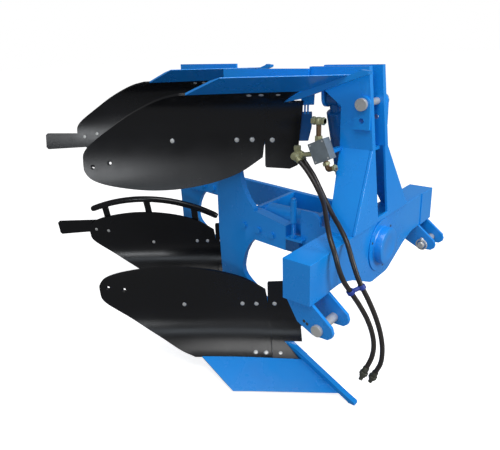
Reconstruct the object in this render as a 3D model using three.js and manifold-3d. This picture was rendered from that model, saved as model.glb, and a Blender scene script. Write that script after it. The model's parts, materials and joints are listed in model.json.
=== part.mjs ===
// Mounted reversible plough: a headstock that stays upright on the tractor, and a frame with two
// pairs of bodies that a hydraulic cylinder turns over about a lengthwise shaft. Millimetres, +Z up,
// +Y is the direction of travel and +X the right-hand side. The modelling origin is on the axis of
// the turnover shaft, under the middle of the headstock beam.
import * as THREE from "three";
import { mergeVertices } from "three/addons/utils/BufferGeometryUtils.js";
import Module from "manifold-3d";

const wasm = await Module();
wasm.setup();

// Clearances, rounding and cutting
const GAP = 0.3;
const CUT = 6;
const WELD = 0.01;
const ROUND = 20;
const WIDE_ROUND = 26;
const PIN_ROUND = 16;
const SHAFT_ROUND = 32;
const COARSE = 10;
const BOLT_SIDES = 6;
const ARC_STEPS = 5;
const SHEET_TWIST_STEPS = 5;
const SHEET_ARC_STEPS = 6;
const SHEET_TOP_STEPS = 3;
const THROAT_STEPS = 10;

// Headstock beam, its hub and its front plate
const BEAM_TOP = 98;
const BEAM_BOTTOM = -37;
const BEAM_REAR = -49;
const BEAM_FRONT = 35;
const BEAM_WALL = 12;
const BEAM_DRAIN = 8;
const END_BOX_LENGTH = 111;
const END_BOX_FRONT = 49;
const PLATE = 10;
const FRONT_PLATE_DROP = 127;
const HUB_OUTER = 68;
const HUB_REAR = -75;
const BUSH_WALL = 9.6;
const BUSH_FLANGE = 60;
const CAP_LENGTH = 32;
const CAP_WALL = 8;
const CAP_FLANGE = 98;
const CAP_FLANGE_THICK = 4;

// Mast: two side plates, straight above the knee and splayed below it
const MAST_PLATE = 22;
const MAST_HALF_GAP = 38;
const MAST_TOP = 632;
const MAST_KNEE = 356;
const MAST_LEAN = 0.0918;
const MAST_FOOT_FROM = 188;
const MAST_FOOT_WIDTH = 25;
const MAST_REAR = -98;
const MAST_SLOPE_FROM = 500;
const MAST_TAIL = -226;
const MAST_TAIL_DEPTH = 32;
const SHELF_THICK = 12;
const PAD_THICK = 12;
const PAD_HALF = 28;
const PAD_MIDDLE = -14;
const TOP_LINK_HEIGHT = 510;
const PAD_DROP = 85;
const TOP_LINK_PIN = 12.5;
const SPARE_HOLE_DROP = 55;
const SPARE_HOLE = 9;
const FRONT_SLOT_FOOT = 17;

// Lower-link ears and pins
const HITCH_SPREAD = 825;
const EAR_SPACING = 96;
const EAR_THICK = 12;
const EAR_LENGTH = 168;
const EAR_DROP = 101;
const BEAM_OVERHANG = 14.5;
const BEAM_HALF = HITCH_SPREAD / 2 + EAR_SPACING / 2 + EAR_THICK / 2 + BEAM_OVERHANG;
const END_BOX_FROM = BEAM_HALF - END_BOX_LENGTH;
const LINK_PIN = 14;
const LINK_PIN_FORWARD = 118;
const LINK_PIN_DROP = 76;
const PIN_HEAD_THICK = 12;
const PIN_HEAD_EXTRA = 9;
const PIN_END = 26;
const LINCH_RING = 21;
const LINCH_WIRE = 3;
const LINCH_PIN = 4;
const LINCH_HEAD = 8;
const LINCH_WIRE_SIDES = 5;
const LINCH_RING_STEPS = 12;

// Turnover cylinder, crank and shaft
const CYLINDER_Y = -155;
const CYLINDER_TOP_Z = 520;
const CRANK = 160;
const BARREL = 38;
const BARREL_BORE = 30.3;
const BARREL_FROM = 50;
const BARREL_TO = 315;
const BARREL_HEAD = 20;
const GLAND = 25;
const ROD = 17;
const PISTON_LENGTH = 20;
const EYE = 30;
const EYE_NECK = 24;
const EYE_WIDTH = 40;
const CYLINDER_PIN = 12.5;
const CRANK_PIN = 15;
const LUG_THICK = 12;
const LUG_CLEARANCE = 5;
const LUG_ROUND = 34;
const BRACKET_DROP = 20;
const SHAFT = 45;
const SHAFT_THREAD = 28;
const SHAFT_NUT = 57;
const SHAFT_NUT_THICK = 22;

// Turnover yoke and stop screws
const YOKE_PLATE = 25;
const YOKE_FRONT = -85;
const YOKE_REAR = -200;
const YOKE_DISC = 80;
const YOKE_WAIST_ACROSS = 48;
const YOKE_WAIST_UP = 64;
const YOKE_EAR = 28;
const YOKE_HALF = 60;
const YOKE_ARM = 135;
const YOKE_ARM_HALF = 38;
const YOKE_REAR_LEFT = -205;
const YOKE_REAR_RIGHT = 60;
const WEB_THICK = 15;
const WEB_REAR = -250;
const WEB_NOSE_Y = -163;
const WEB_NOSE_HALF = 95;
const WEB_NOSE_ROUND = 45;
const WEB_HALF = 45;
const SIDE_SHELF_REACH = 29;
const SIDE_SHELF_Z = -20;
const SIDE_SHELF_THICK = 10;
const STOP_LUG_WIDTH = 26;
const STOP_LUG_HALF = 20;
const STOP_LUG_LENGTH = 30;
const STOP_BLOCK_WIDTH = 36;
const STOP_BLOCK_DEPTH = 31;
const STOP_BLOCK_HEIGHT = 36;
const SCREW = 8;
const SCREW_NUT = 13;
const SCREW_NUT_THICK = 12;
const ADJUST_BEHIND = 23;
const ADJUST_TOP = 142;
const ADJUST_SLEEVE = 12;

// Plough frame: rails, cross member, torque tube and legs
const RAIL = 25;
const RAIL_HALF = 60;
const ARM_REAR = -560;
const ARM_FRONT = -304;
const RAIL_RIGHT = 100;
const FAR_RAIL_START = -178;
const FAR_RAIL_BEND = -900;
const FAR_RAIL_END = -1215;
const CROSS_FRONT = -468;
const CROSS_THICK = 20;
const TORQUE_X = -22;
const TORQUE_TUBE = 57;
const TORQUE_WALL = 8;
const LEG_REAR = -669;
const LEG_LENGTH = 365;
const BODY_STEP_X = -390;
const BODY_STEP_Y = -666;
const FRAME_BOLT = 8;
const FRAME_BOLT_HEAD = 13;
const FRAME_BOLT_HEAD_THICK = 9;
const FRAME_BOLT_FIRST = -515;
const FRAME_BOLT_RUN = 145;
const FRAME_BOLT_DROP = 14;
const FRAME_BOLT_LEVEL = 16;

// Bodies: one ruled surface, shares of 25 degrees below and a rolled mouldboard above
const GROUND = 626;
const BODY_ANGLE = 34.5;
const SHARE_ANGLE = 25;
const SHARE_HEIGHT = 76;
const SHARE_JOINT = GROUND - SHARE_HEIGHT;
const SURFACE_ACROSS = 42.4;
const SURFACE_RADIUS = 195;
const UPPER_RADIUS = 620;
const TWIST_FROM = 430;
const TWIST_RUN = 640;
const TWIST = 50;
const TWIST_POWER = 1.6;
const SOIL_PLATE = 9;
const BOARD_TAIL = -1114;
const BOARD_LENGTH = 750;
const BOARD_TOP = 165;
const BOARD_HEIGHT = SHARE_JOINT - BOARD_TOP;
const SHIN_LENGTH = 145;
const SHIN_TOP = 245;
const SHIN_HEIGHT = SHARE_JOINT - SHIN_TOP;
const SHIN_TOE_SHARE = 0.148;
const SHIN_BACK = -386;
const SHARE_TOP_FROM = -665;
const SHARE_TOP_TO = -226;
const SHARE_EDGE_FROM = -519;
const SHARE_EDGE_TO = -71;
const SHARE_EDGE_RISE = 18;
const SHARE_REAR_RISE = 12;
const SLAB_FROM = -1310;
const SLAB_TO = -60;
const SLAB_BELOW = 35;
const FROG_THICK = 14;
const FROG_FROM = -525;
const FROG_LENGTH = 225;
const FROG_ABOVE_BOLT = 12.5;
const FROG_FOOT = 66;
const LEG_HALF = GROUND - FROG_FOOT;
const LANDSIDE_LEFT = 66;
const LANDSIDE_THICK = 12;
const LANDSIDE_REAR = -620;
const LANDSIDE_LENGTH = 400;
const LANDSIDE_HEIGHT = 126;
const STAY = 11;
const STAY_PAD = 18;
const STAY_Y = -560;
const STAY_DEPTH = 330;
const BAR_LEFT = 110;
const BAR_WIDTH = 25;
const BAR_LEAN = 0.13;
const BAR_TOP_Y = -312;
const BAR_LENGTH = 350;
const BAR_HEIGHT = 119;
const PLOUGH_BOLT = 5.5;
const PLOUGH_HEAD = 9;
const PLOUGH_HEAD_THICK = 4;
const PLOUGH_HEAD_PROUD = 0.4;
const PLOUGH_NUT_THICK = 7;

// Tail pieces and guard rods of the rear bodies
const TAIL_FROM = -1290;
const TAIL_LENGTH = 310;
const TAIL_ABOVE_BOLT = 57;
const TAIL_WIDTH = 84;
const TAIL_THICK = 8;
const GUARD = 13;
const GUARD_FROM = -1104;
const GUARD_LENGTH = 725;
const GUARD_TAIL_DEPTH = 156;
const GUARD_FRONT_DEPTH = 204;
const GUARD_MIDDLE_DEPTH = 0;
const GUARD_SUMMIT = (GUARD_TAIL_DEPTH + GUARD_FRONT_DEPTH) / 4 + GUARD_MIDDLE_DEPTH / 2;
const GUARD_POST_WIDTH = 34;
const GUARD_POST_DEPTH = 265;
const GUARD_POINTS = 8;
const GUARD_STEPS = 14;

// Valve block, its bracket and fittings
const VALVE_LEFT = 110;
const VALVE_WIDTH = 40;
const VALVE_LENGTH = 68;
const VALVE_HEIGHT = 76;
const VALVE_Y = -129;
const VALVE_Z = 352;
const VALVE_TILT = 24;
const BRACKET_PLATE = 10;
const BRACKET_SETBACK = 8;
const BRACKET_ARM = 30;
const BRACKET_ARM_THICK = 16;
const HOSE_END = 12;
const HOSE_END_LENGTH = 30;
const MANIFOLD = 15;
const NIPPLE = 9;
const ELBOW = 10;
const ELBOW_LENGTH = 30;
const PIPE_LENGTH = 68;
const PIPE_COLLAR = 17;
const PIPE_COLLAR_RADIUS = 15;

// Hoses, couplers and tie
const HOSE = 8.5;
const HOSE_SIDES = 8;
const HOSE_STEPS = 22;
const COUPLER = 14;
const COUPLER_LENGTH = 46;
const COUPLER_COLLAR = 18;
const COUPLER_COLLAR_TO = 37;
const COUPLER_NOSE = 9;
const COUPLER_NOSE_TO = 64;
const TIE_WALL = 4;
const TIE_LENGTH = 14;

// Shapes given as shares of the sizes above, chosen by hand
const front_plate_shares = [
  [1, 1], [1, 0.4], [0.811, 0.4], [0.72, 0.372], [0.64, 0.332], [0.554, 0.289], [0.203, 0.022],
  [0.149, 0],
];
const ear_shares = [
  [0, 0], [0.262, 0.73], [0.327, 0.79], [0.595, 1], [0.9, 0.97], [0.98, 0.86], [1, 0.73],
  [0.964, 0.545], [0.56, 0],
];
const leg_back_shares = [
  [0.353, 1], [0.162, 0.893], [0.066, 0.714], [0.033, 0.491], [0.011, 0.143],
];
const leg_foot_shares = [[1.011, 0.857], [1.011, 0.973]];
const leg_throat_shares = [
  [0.57, 0.118], [0.449, 0.211], [0.386, 0.329], [0.37, 0.4], [0.4, 0.452], [0.48, 0.5],
  [0.66, 0.58], [0.83, 0.7],
];
const arm_shares = [[0.07, 1], [0.42, 0.93], [1, 0.4], [1, -1.33], [0.5, -1.22], [0.07, -1.1]];
const frame_bolt_shares = [0, 0.517, 1];
const board_shares = [
  [0, 0.691], [0.004, 0.59], [0.024, 0.528], [0.072, 0.449], [0.158, 0.337], [0.278, 0.197],
  [0.403, 0.085], [0.48, 0.033], [0.56, 0], [1, 0],
  [0.971, 0.488], [0.959, 0.675], [0.845, 0.818], [0.739, 0.896], [0.632, 0.945], [0.499, 0.979],
  [0.352, 0.982], [0.205, 0.948], [0.097, 0.899], [0.037, 0.844], [0.005, 0.766],
];
const shin_shares = [
  [0.152, 0], [0, 0.616], [0, 0.955], [0.03, 0.985], [0.66, 1], [0.875, 0.955], [0.903, 0.682],
  [1, SHIN_TOE_SHARE], [1.04, 0],
];
const frog_shares = [[0, 0.12], [0.1, 0], [0.9, 0], [1, 0.12], [1, 0.9], [0.9, 1], [0.1, 1], [0, 0.9]];
const landside_shares = [[0, 0.45], [0.06, 0], [0.8, 0], [1, 0.3], [1, 1], [0, 1]];
const bar_shares = [
  [0, 0], [0.209, 0.126], [0.891, 0.798], [0.994, 0.882], [1, 0.966], [0.914, 1], [0.72, 0.9],
  [0.274, 0.5], [0, 0.07],
];
const tail_shares = [
  [0, 0.12], [0, 0.88], [0.035, 1], [0.97, 0.85], [1, 0.75], [1, 0.15], [0.97, 0.05], [0.035, 0],
];
// Plough bolts of one body: place along the surface as a share of the board, height share of the
// board's height above the share joint
const plough_bolt_shares = [
  [0.483, 0.483], [0.824, 0.492], [0.905, 0.492], [1.009, 0.5], [0.904, 0.028], [0.963, 0.028],
  [1.044, 0.028],
];
const tail_hole_shares = [[0.052, 0.725], [0.143, 0.691]];
const guard_post_shares = [[0.145, 0.79], [0.477, 0.83], [0.836, 1]];

// Routes of the hoses from the valve block over the beam to the couplers
const left_hose_route = [
  [150, -205, 307], [156, -180, 289], [169, -147, 264], [192, -104, 230], [229, -60, 201],
  [276, -22, 176], [317, 9, 156], [350, 39, 131], [367, 64, 98], [371, 80, 57], [361, 92, 15],
  [339, 106, -28], [312, 124, -80], [284, 140, -140], [263, 150, -202], [249, 150, -256],
  [246, 143, -302], [254, 132, -338],
];
const right_hose_route = [
  [123, -206, 308], [130, -182, 287], [144, -150, 262], [163, -112, 224], [186, -74, 190],
  [215, -32, 160], [251, 16, 136], [282, 58, 106], [301, 90, 54], [304, 116, -3], [293, 143, -62],
  [268, 160, -132], [242, 168, -204], [221, 168, -274], [208, 159, -338], [208, 144, -378],
];
const TIE_LEFT_POINT = 11;
const TIE_RIGHT_POINT = 9;

const X = new THREE.Vector3(1, 0, 0);
const Y = new THREE.Vector3(0, 1, 0);
const Z = new THREE.Vector3(0, 0, 1);
const radians = THREE.MathUtils.degToRad;

// Finishes
const finish = (color, roughness, metalness) =>
  new THREE.MeshStandardMaterial({ color, roughness, metalness });
const BLUE = finish(0x2f86dc, 0.35, 0);
const BLACK = finish(0x202224, 0.38, 0.1);
const STEEL = finish(0xb9bcbe, 0.35, 0.9);
const ZINC = finish(0xb9b48a, 0.4, 0.8);
const BRONZE = finish(0xa9834d, 0.45, 0.8);
const GREY = finish(0x6b7378, 0.5, 0.1);
const RUBBER = finish(0x1c1b1b, 0.65, 0);
const TIE_BLUE = finish(0x24409c, 0.5, 0);
const CHROME = finish(0xdadcde, 0.12, 1);

// Closed geometry turned into a solid that can be joined and cut
function solidOf(geometry) {
  const bare = geometry.clone();
  bare.deleteAttribute("normal");
  bare.deleteAttribute("uv");
  const merged = mergeVertices(bare, WELD);
  const vertProperties = Float32Array.from(merged.attributes.position.array);
  const triVerts = Uint32Array.from(merged.index.array);
  return new wasm.Manifold(new wasm.Mesh({ numProp: 3, vertProperties, triVerts }));
}

// Mesh of a solid, for a piece or for moving and bending it
function geometryOf(solid) {
  const mesh = solid.getMesh();
  const geometry = new THREE.BufferGeometry();
  const places = Float32Array.from(mesh.vertProperties);
  geometry.setAttribute("position", new THREE.BufferAttribute(places, 3));
  geometry.setIndex(Array.from(mesh.triVerts));
  return geometry;
}

const join = (...solids) => solids.reduce((sum, next) => sum.add(next));
const cut = (solid, ...tools) => tools.reduce((rest, tool) => rest.subtract(tool), solid);

// Points of an outline from shares of a width and a height
const scaled = (shares, x0, width, y0, height) =>
  shares.map(([across, up]) => [x0 + across * width, y0 + up * height]);

// Closed outline through points
function shapeOf(points) {
  return new THREE.Shape(points.map(([a, b]) => new THREE.Vector2(a, b)));
}

// Plate with its outline in YZ, XZ or XY, between two places on the axis named first
function plate(axis, outline, from, to) {
  const shape = Array.isArray(outline) ? shapeOf(outline) : outline;
  const settings = { depth: to - from, bevelEnabled: false, curveSegments: ARC_STEPS };
  const geometry = new THREE.ExtrudeGeometry(shape, settings);
  const matrix = new THREE.Matrix4();
  if (axis === "x") matrix.makeBasis(Y, Z, X).setPosition(from, 0, 0);
  if (axis === "y") matrix.makeBasis(X, Z, Y.clone().negate()).setPosition(0, to, 0);
  if (axis === "z") matrix.setPosition(0, 0, from);
  return solidOf(geometry.applyMatrix4(matrix));
}

// Block between two places on each axis
function box([x0, x1], [y0, y1], [z0, z1]) {
  const geometry = new THREE.BoxGeometry(x1 - x0, y1 - y0, z1 - z0);
  return solidOf(geometry.translate((x0 + x1) / 2, (y0 + y1) / 2, (z0 + z1) / 2));
}

// Round bar, or a cone where the end radius differs, between two points
function rod(from, to, radius, sides = ROUND, endRadius = radius) {
  const start = new THREE.Vector3(...from);
  const along = new THREE.Vector3(...to).sub(start);
  const geometry = new THREE.CylinderGeometry(endRadius, radius, along.length(), sides);
  geometry.translate(0, along.length() / 2, 0);
  geometry.applyQuaternion(new THREE.Quaternion().setFromUnitVectors(Y, along.normalize()));
  return solidOf(geometry.translate(...start.toArray()));
}

// Faces turned round, for a geometry that a mirror has turned inside out
function flipped(geometry) {
  const index = geometry.index.array;
  for (let corner = 0; corner < index.length; corner += 3) {
    [index[corner], index[corner + 1]] = [index[corner + 1], index[corner]];
  }
  return geometry;
}

// Same solid on the other side of the plane across an axis
function mirrored(solid, axis) {
  const flip = new THREE.Vector3(1, 1, 1);
  flip[axis] = -1;
  return solidOf(flipped(geometryOf(solid).scale(flip.x, flip.y, flip.z)));
}

const machine = new THREE.Group();

// Named mesh in the machine or in one of its groups
function addPiece(name, solid, material, parent = machine) {
  const mesh = new THREE.Mesh(geometryOf(solid), material);
  mesh.name = name;
  parent.add(mesh);
  return mesh;
}

// Working surface of a body. `along` runs from the share point to the tail (negative towards the
// tail), `rise` is the length of the profile above the joint of share and mouldboard, and `behind`
// is the distance behind the front face.
const heading = new THREE.Vector2(-Math.sin(radians(BODY_ANGLE)), Math.cos(radians(BODY_ANGLE)));
const acrossWay = new THREE.Vector2(Math.cos(radians(BODY_ANGLE)), Math.sin(radians(BODY_ANGLE)));
const LOWER_ARC = radians(90 - SHARE_ANGLE) * SURFACE_RADIUS;
const SURFACE_CENTRE = SHARE_JOINT - SURFACE_RADIUS * Math.cos(radians(SHARE_ANGLE));

function twistAt(along) {
  const run = Math.max(0, (-along - TWIST_FROM) / TWIST_RUN);
  return TWIST * run ** TWIST_POWER;
}

function profile(rise, behind) {
  const share = radians(SHARE_ANGLE);
  const radius = SURFACE_RADIUS + behind;
  if (rise < 0) {
    return {
      across: SURFACE_ACROSS - radius * Math.sin(share) - rise * Math.cos(share),
      depth: SURFACE_CENTRE + radius * Math.cos(share) - rise * Math.sin(share),
    };
  }
  if (rise < LOWER_ARC) {
    const angle = share + rise / SURFACE_RADIUS;
    return {
      across: SURFACE_ACROSS - radius * Math.sin(angle),
      depth: SURFACE_CENTRE + radius * Math.cos(angle),
    };
  }
  const angle = (rise - LOWER_ARC) / UPPER_RADIUS;
  const middle = SURFACE_ACROSS - SURFACE_RADIUS + UPPER_RADIUS;
  return {
    across: middle - (UPPER_RADIUS + behind) * Math.cos(angle),
    depth: SURFACE_CENTRE - (UPPER_RADIUS + behind) * Math.sin(angle),
  };
}

function bodyPoint(along, rise, behind, level) {
  const { across, depth } = profile(rise, behind);
  const out = across + twistAt(along);
  const x = along * heading.x + out * acrossWay.x;
  const y = along * heading.y + out * acrossWay.y;
  return new THREE.Vector3(x, y, level * depth);
}

// Length of profile above the share joint that reaches a depth under the shaft
function riseAt(depth) {
  const share = radians(SHARE_ANGLE);
  const joint = SURFACE_CENTRE + SURFACE_RADIUS * Math.cos(share);
  if (depth > joint) return (joint - depth) / Math.sin(share);
  if (depth > SURFACE_CENTRE) {
    return (Math.acos((depth - SURFACE_CENTRE) / SURFACE_RADIUS) - share) * SURFACE_RADIUS;
  }
  return LOWER_ARC + Math.asin((SURFACE_CENTRE - depth) / UPPER_RADIUS) * UPPER_RADIUS;
}

const steps = (from, to, count) =>
  Array.from({ length: count + 1 }, (_, index) => from + ((to - from) * index) / count);

// Sheet of metal that follows the working surface between two distances behind its front face
function sheet(front, back, level) {
  const places = [...steps(SLAB_FROM, -TWIST_FROM, SHEET_TWIST_STEPS), SLAB_TO];
  const upper = steps(LOWER_ARC, riseAt(GUARD_SUMMIT), SHEET_TOP_STEPS).slice(1);
  const rises = [riseAt(GROUND) - SLAB_BELOW, ...steps(0, LOWER_ARC, SHEET_ARC_STEPS), ...upper];
  const rows = places.length;
  const columns = rises.length;
  const position = [front, back].flatMap((behind) =>
    places.flatMap((along) =>
      rises.flatMap((rise) => bodyPoint(along, rise, behind, level).toArray()),
    ),
  );
  const index = [];
  const quad = (...corners) => {
    const [a, b, c, d] = corners.map(([side, row, column]) => (side * rows + row) * columns + column);
    index.push(...(level < 0 ? [a, b, c, a, c, d] : [a, c, b, a, d, c]));
  };
  const lastRow = rows - 1;
  const lastColumn = columns - 1;
  for (let row = 0; row < lastRow; row += 1) {
    const below = row + 1;
    for (let column = 0; column < lastColumn; column += 1) {
      const right = column + 1;
      quad([0, row, column], [0, row, right], [0, below, right], [0, below, column]);
      quad([1, row, column], [1, below, column], [1, below, right], [1, row, right]);
    }
    quad([0, row, 0], [0, below, 0], [1, below, 0], [1, row, 0]);
    quad([0, row, lastColumn], [1, row, lastColumn], [1, below, lastColumn], [0, below, lastColumn]);
  }
  for (let column = 0; column < lastColumn; column += 1) {
    const right = column + 1;
    quad([0, 0, column], [1, 0, column], [1, 0, right], [0, 0, right]);
    quad([0, lastRow, column], [0, lastRow, right], [1, lastRow, right], [1, lastRow, column]);
  }
  const geometry = new THREE.BufferGeometry();
  geometry.setAttribute("position", new THREE.Float32BufferAttribute(position, 3));
  geometry.setIndex(index);
  const solid = solidOf(geometry);
  return solid.volume() < 0 ? solidOf(flipped(geometry)) : solid;
}

// Prism through the surface: its outline is given along the body and by depth under the shaft
function bodyPrism(outline, level) {
  const reach = UPPER_RADIUS;
  const points = outline.map(([along, depth]) => [along, level * depth]);
  const settings = { depth: 2 * reach, bevelEnabled: false };
  const geometry = new THREE.ExtrudeGeometry(shapeOf(points), settings);
  const alongWay = new THREE.Vector3(heading.x, heading.y, 0);
  const outWay = new THREE.Vector3(acrossWay.x, acrossWay.y, 0);
  const matrix = new THREE.Matrix4().makeBasis(alongWay, Z, outWay);
  matrix.setPosition(outWay.clone().multiplyScalar(-reach));
  return solidOf(geometry.applyMatrix4(matrix));
}

// Outward direction at the back of the surface
function backward(along, rise, level) {
  return bodyPoint(along, rise, SOIL_PLATE, level).sub(bodyPoint(along, rise, 0, level)).normalize();
}

// Round bar square to the surface, between two distances behind its front face
function alongNormal(along, rise, from, to, radius, level, sides = BOLT_SIDES) {
  const foot = bodyPoint(along, rise, 0, level);
  const way = backward(along, rise, level);
  const start = foot.clone().addScaledVector(way, from);
  const end = foot.clone().addScaledVector(way, to);
  return rod(start.toArray(), end.toArray(), radius, sides);
}

// Place on the surface from shares of the mouldboard's length and height
const boardPlace = ([share, rise]) => [
  BOARD_TAIL + share * BOARD_LENGTH,
  riseAt(SHARE_JOINT - rise * BOARD_HEIGHT),
];
const ploughBolts = plough_bolt_shares.map(boardPlace);
const tailBolts = tail_hole_shares.map(boardPlace);

// Holes and bolts share one list of places; the bolts belong to what they screw into
function ploughHoles(places, through, level) {
  return join(
    ...places.map(([along, rise]) =>
      join(
        alongNormal(along, rise, -CUT, PLOUGH_HEAD_THICK + GAP, PLOUGH_HEAD + GAP, level),
        alongNormal(along, rise, 0, through, PLOUGH_BOLT + GAP, level),
      ),
    ),
  );
}

// Countersunk head and shank of a plough bolt
function ploughBolt([along, rise], length, level) {
  const head = alongNormal(along, rise, -PLOUGH_HEAD_PROUD, PLOUGH_HEAD_THICK, PLOUGH_HEAD, level);
  return join(head, alongNormal(along, rise, 0, length, PLOUGH_BOLT, level));
}

// Headstock
const BORE = SHAFT + GAP + BUSH_WALL + GAP;

// Box beam with wider ends, stop blocks and the hub through its middle
function headstockBeam() {
  const inner = BEAM_WALL;
  let beam = box([-BEAM_HALF, BEAM_HALF], [BEAM_REAR, BEAM_FRONT], [BEAM_BOTTOM, BEAM_TOP]);
  for (const side of [-1, 1]) {
    const ends = [side * END_BOX_FROM, side * BEAM_HALF].sort((a, b) => a - b);
    beam = beam.add(box(ends, [BEAM_REAR, END_BOX_FRONT], [BEAM_BOTTOM, BEAM_TOP]));
    const blockAt = side * (YOKE_ARM - STOP_LUG_WIDTH / 2);
    beam = beam.add(
      box(
        [blockAt - STOP_BLOCK_WIDTH / 2, blockAt + STOP_BLOCK_WIDTH / 2],
        [BEAM_REAR - STOP_BLOCK_DEPTH, BEAM_REAR + WELD],
        [BEAM_TOP - STOP_BLOCK_HEIGHT, BEAM_TOP],
      ),
    );
  }
  for (const side of [-1, 1]) {
    const from = HUB_OUTER + inner;
    const ends = [side * from, side * (BEAM_HALF - inner)].sort((a, b) => a - b);
    const room = [BEAM_BOTTOM + inner, BEAM_TOP - inner];
    const middle = (BEAM_REAR + BEAM_FRONT) / 2;
    const drain = (height) => [(side * (BEAM_HALF + from)) / 2, middle, height];
    beam = cut(
      beam,
      box(ends, [BEAM_REAR + inner, BEAM_FRONT - inner], room),
      rod(drain(BEAM_BOTTOM - CUT), drain(BEAM_BOTTOM + inner + CUT), BEAM_DRAIN, COARSE),
    );
  }
  beam = beam.add(rod([0, HUB_REAR, 0], [0, BEAM_FRONT, 0], HUB_OUTER, ROUND));
  return cut(beam, rod([0, HUB_REAR - CUT, 0], [0, BEAM_FRONT + CUT, 0], BORE, ROUND));
}

function frontPlate() {
  const height = BEAM_TOP + FRONT_PLATE_DROP;
  const right = scaled(front_plate_shares, 0, END_BOX_FROM - GAP, -FRONT_PLATE_DROP, height);
  const left = right.map(([x, z]) => [-x, z]).reverse();
  const from = BEAM_FRONT + GAP;
  const solid = plate("y", [...right, ...left], from, from + PLATE);
  return cut(solid, rod([0, from - CUT, 0], [0, from + PLATE + CUT, 0], BORE, ROUND));
}

const CAP_FROM = BEAM_FRONT + GAP + PLATE + GAP;

function hubCap() {
  const end = CAP_FROM + CAP_LENGTH;
  const outer = join(
    rod([0, CAP_FROM, 0], [0, end, 0], HUB_OUTER, WIDE_ROUND),
    rod([0, CAP_FROM, 0], [0, CAP_FROM + CAP_FLANGE_THICK, 0], CAP_FLANGE, WIDE_ROUND),
  );
  const hollow = rod([0, CAP_FROM - CUT, 0], [0, end - CAP_WALL, 0], HUB_OUTER - CAP_WALL);
  return cut(outer, hollow);
}

// Bush in the hub, with the thrust flange in front of the yoke
function hubBush() {
  const outer = SHAFT + GAP + BUSH_WALL;
  const rear = YOKE_FRONT + GAP;
  const solid = join(
    rod([0, rear, 0], [0, CAP_FROM, 0], outer, ROUND),
    rod([0, rear, 0], [0, HUB_REAR - GAP, 0], BUSH_FLANGE, ROUND),
  );
  return cut(solid, rod([0, rear - CUT, 0], [0, CAP_FROM + CUT, 0], SHAFT + GAP, SHAFT_ROUND));
}

const mastFront = (z) => END_BOX_FRONT - MAST_LEAN * (z - BEAM_TOP);

// Solid between two rectangles at two levels
function splayed(low, high) {
  const corners = [];
  for (const { z, x, y } of [low, high]) {
    for (const [a, b] of [[0, 0], [1, 0], [1, 1], [0, 1]]) corners.push([x[a], y[b], z]);
  }
  const faces = [0, 3, 2, 0, 2, 1, 4, 5, 6, 4, 6, 7];
  for (let side = 0; side < 4; side += 1) {
    const next = (side + 1) % 4;
    faces.push(side, next, next + 4, side, next + 4, side + 4);
  }
  const geometry = new THREE.BufferGeometry();
  geometry.setAttribute("position", new THREE.Float32BufferAttribute(corners.flat(), 3));
  geometry.setIndex(faces);
  return solidOf(geometry);
}

// Side plate of the mast, with the pad round the top-link hole
function mastPlate() {
  const outer = MAST_HALF_GAP + MAST_PLATE;
  const foot = BEAM_TOP + GAP;
  const outline = [
    [mastFront(MAST_KNEE), MAST_KNEE], [mastFront(MAST_TOP), MAST_TOP], [MAST_TAIL, MAST_TOP],
    [MAST_TAIL, MAST_TOP - MAST_TAIL_DEPTH], [MAST_REAR, MAST_SLOPE_FROM], [MAST_REAR, MAST_KNEE],
  ];
  const upper = plate("x", outline, MAST_HALF_GAP, outer);
  const low = {
    z: foot,
    x: [MAST_FOOT_FROM, MAST_FOOT_FROM + MAST_FOOT_WIDTH],
    y: [BEAM_REAR, mastFront(foot) - PLATE - GAP],
  };
  const high = {
    z: MAST_KNEE + WELD,
    x: [MAST_HALF_GAP, outer],
    y: [MAST_REAR, mastFront(MAST_KNEE) - PLATE - GAP],
  };
  const pad = new THREE.Shape();
  const padFoot = TOP_LINK_HEIGHT - PAD_DROP;
  pad.moveTo(PAD_MIDDLE - PAD_HALF, padFoot);
  pad.lineTo(PAD_MIDDLE + PAD_HALF, padFoot);
  pad.lineTo(PAD_MIDDLE + PAD_HALF, TOP_LINK_HEIGHT);
  pad.absarc(PAD_MIDDLE, TOP_LINK_HEIGHT, PAD_HALF, 0, Math.PI, false);
  const solid = join(upper, splayed(low, high), plate("x", pad, outer - WELD, outer + PAD_THICK));
  const across = (y, z, radius) => rod([0, y, z], [outer + PAD_THICK + CUT, y, z], radius, PIN_ROUND);
  return cut(
    solid,
    across(PAD_MIDDLE, TOP_LINK_HEIGHT, TOP_LINK_PIN + GAP),
    across(PAD_MIDDLE, TOP_LINK_HEIGHT - SPARE_HOLE_DROP, SPARE_HOLE),
  );
}

// Only the right-hand plate carries the shelf at the knee
function mastPlateWithShelf() {
  const shelf = box(
    [GAP - MAST_HALF_GAP, MAST_HALF_GAP + MAST_PLATE / 2],
    [MAST_REAR + SHELF_THICK, mastFront(MAST_KNEE) - 2 * PLATE],
    [MAST_KNEE - GAP - SHELF_THICK, MAST_KNEE - GAP],
  );
  return mastPlate().add(shelf);
}

// Front of the mast's splayed foot, open between the side plates
function mastFrontPlate() {
  const top = MAST_KNEE - GAP;
  const foot = BEAM_TOP + GAP;
  const reach = MAST_FOOT_FROM + MAST_FOOT_WIDTH;
  const outer = MAST_HALF_GAP + MAST_PLATE;
  const slot = foot + FRONT_SLOT_FOOT;
  const outline = [
    [-reach, foot], [reach, foot], [outer, top], [MAST_HALF_GAP, top], [MAST_HALF_GAP, slot],
    [-MAST_HALF_GAP, slot], [-MAST_HALF_GAP, top], [-outer, top],
  ];
  const geometry = geometryOf(plate("y", outline, -PLATE, 0));
  const lean = new THREE.Matrix4().makeShear(0, 0, 0, 0, 0, -MAST_LEAN);
  lean.setPosition(0, mastFront(0), 0);
  return solidOf(geometry.applyMatrix4(lean));
}

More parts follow.
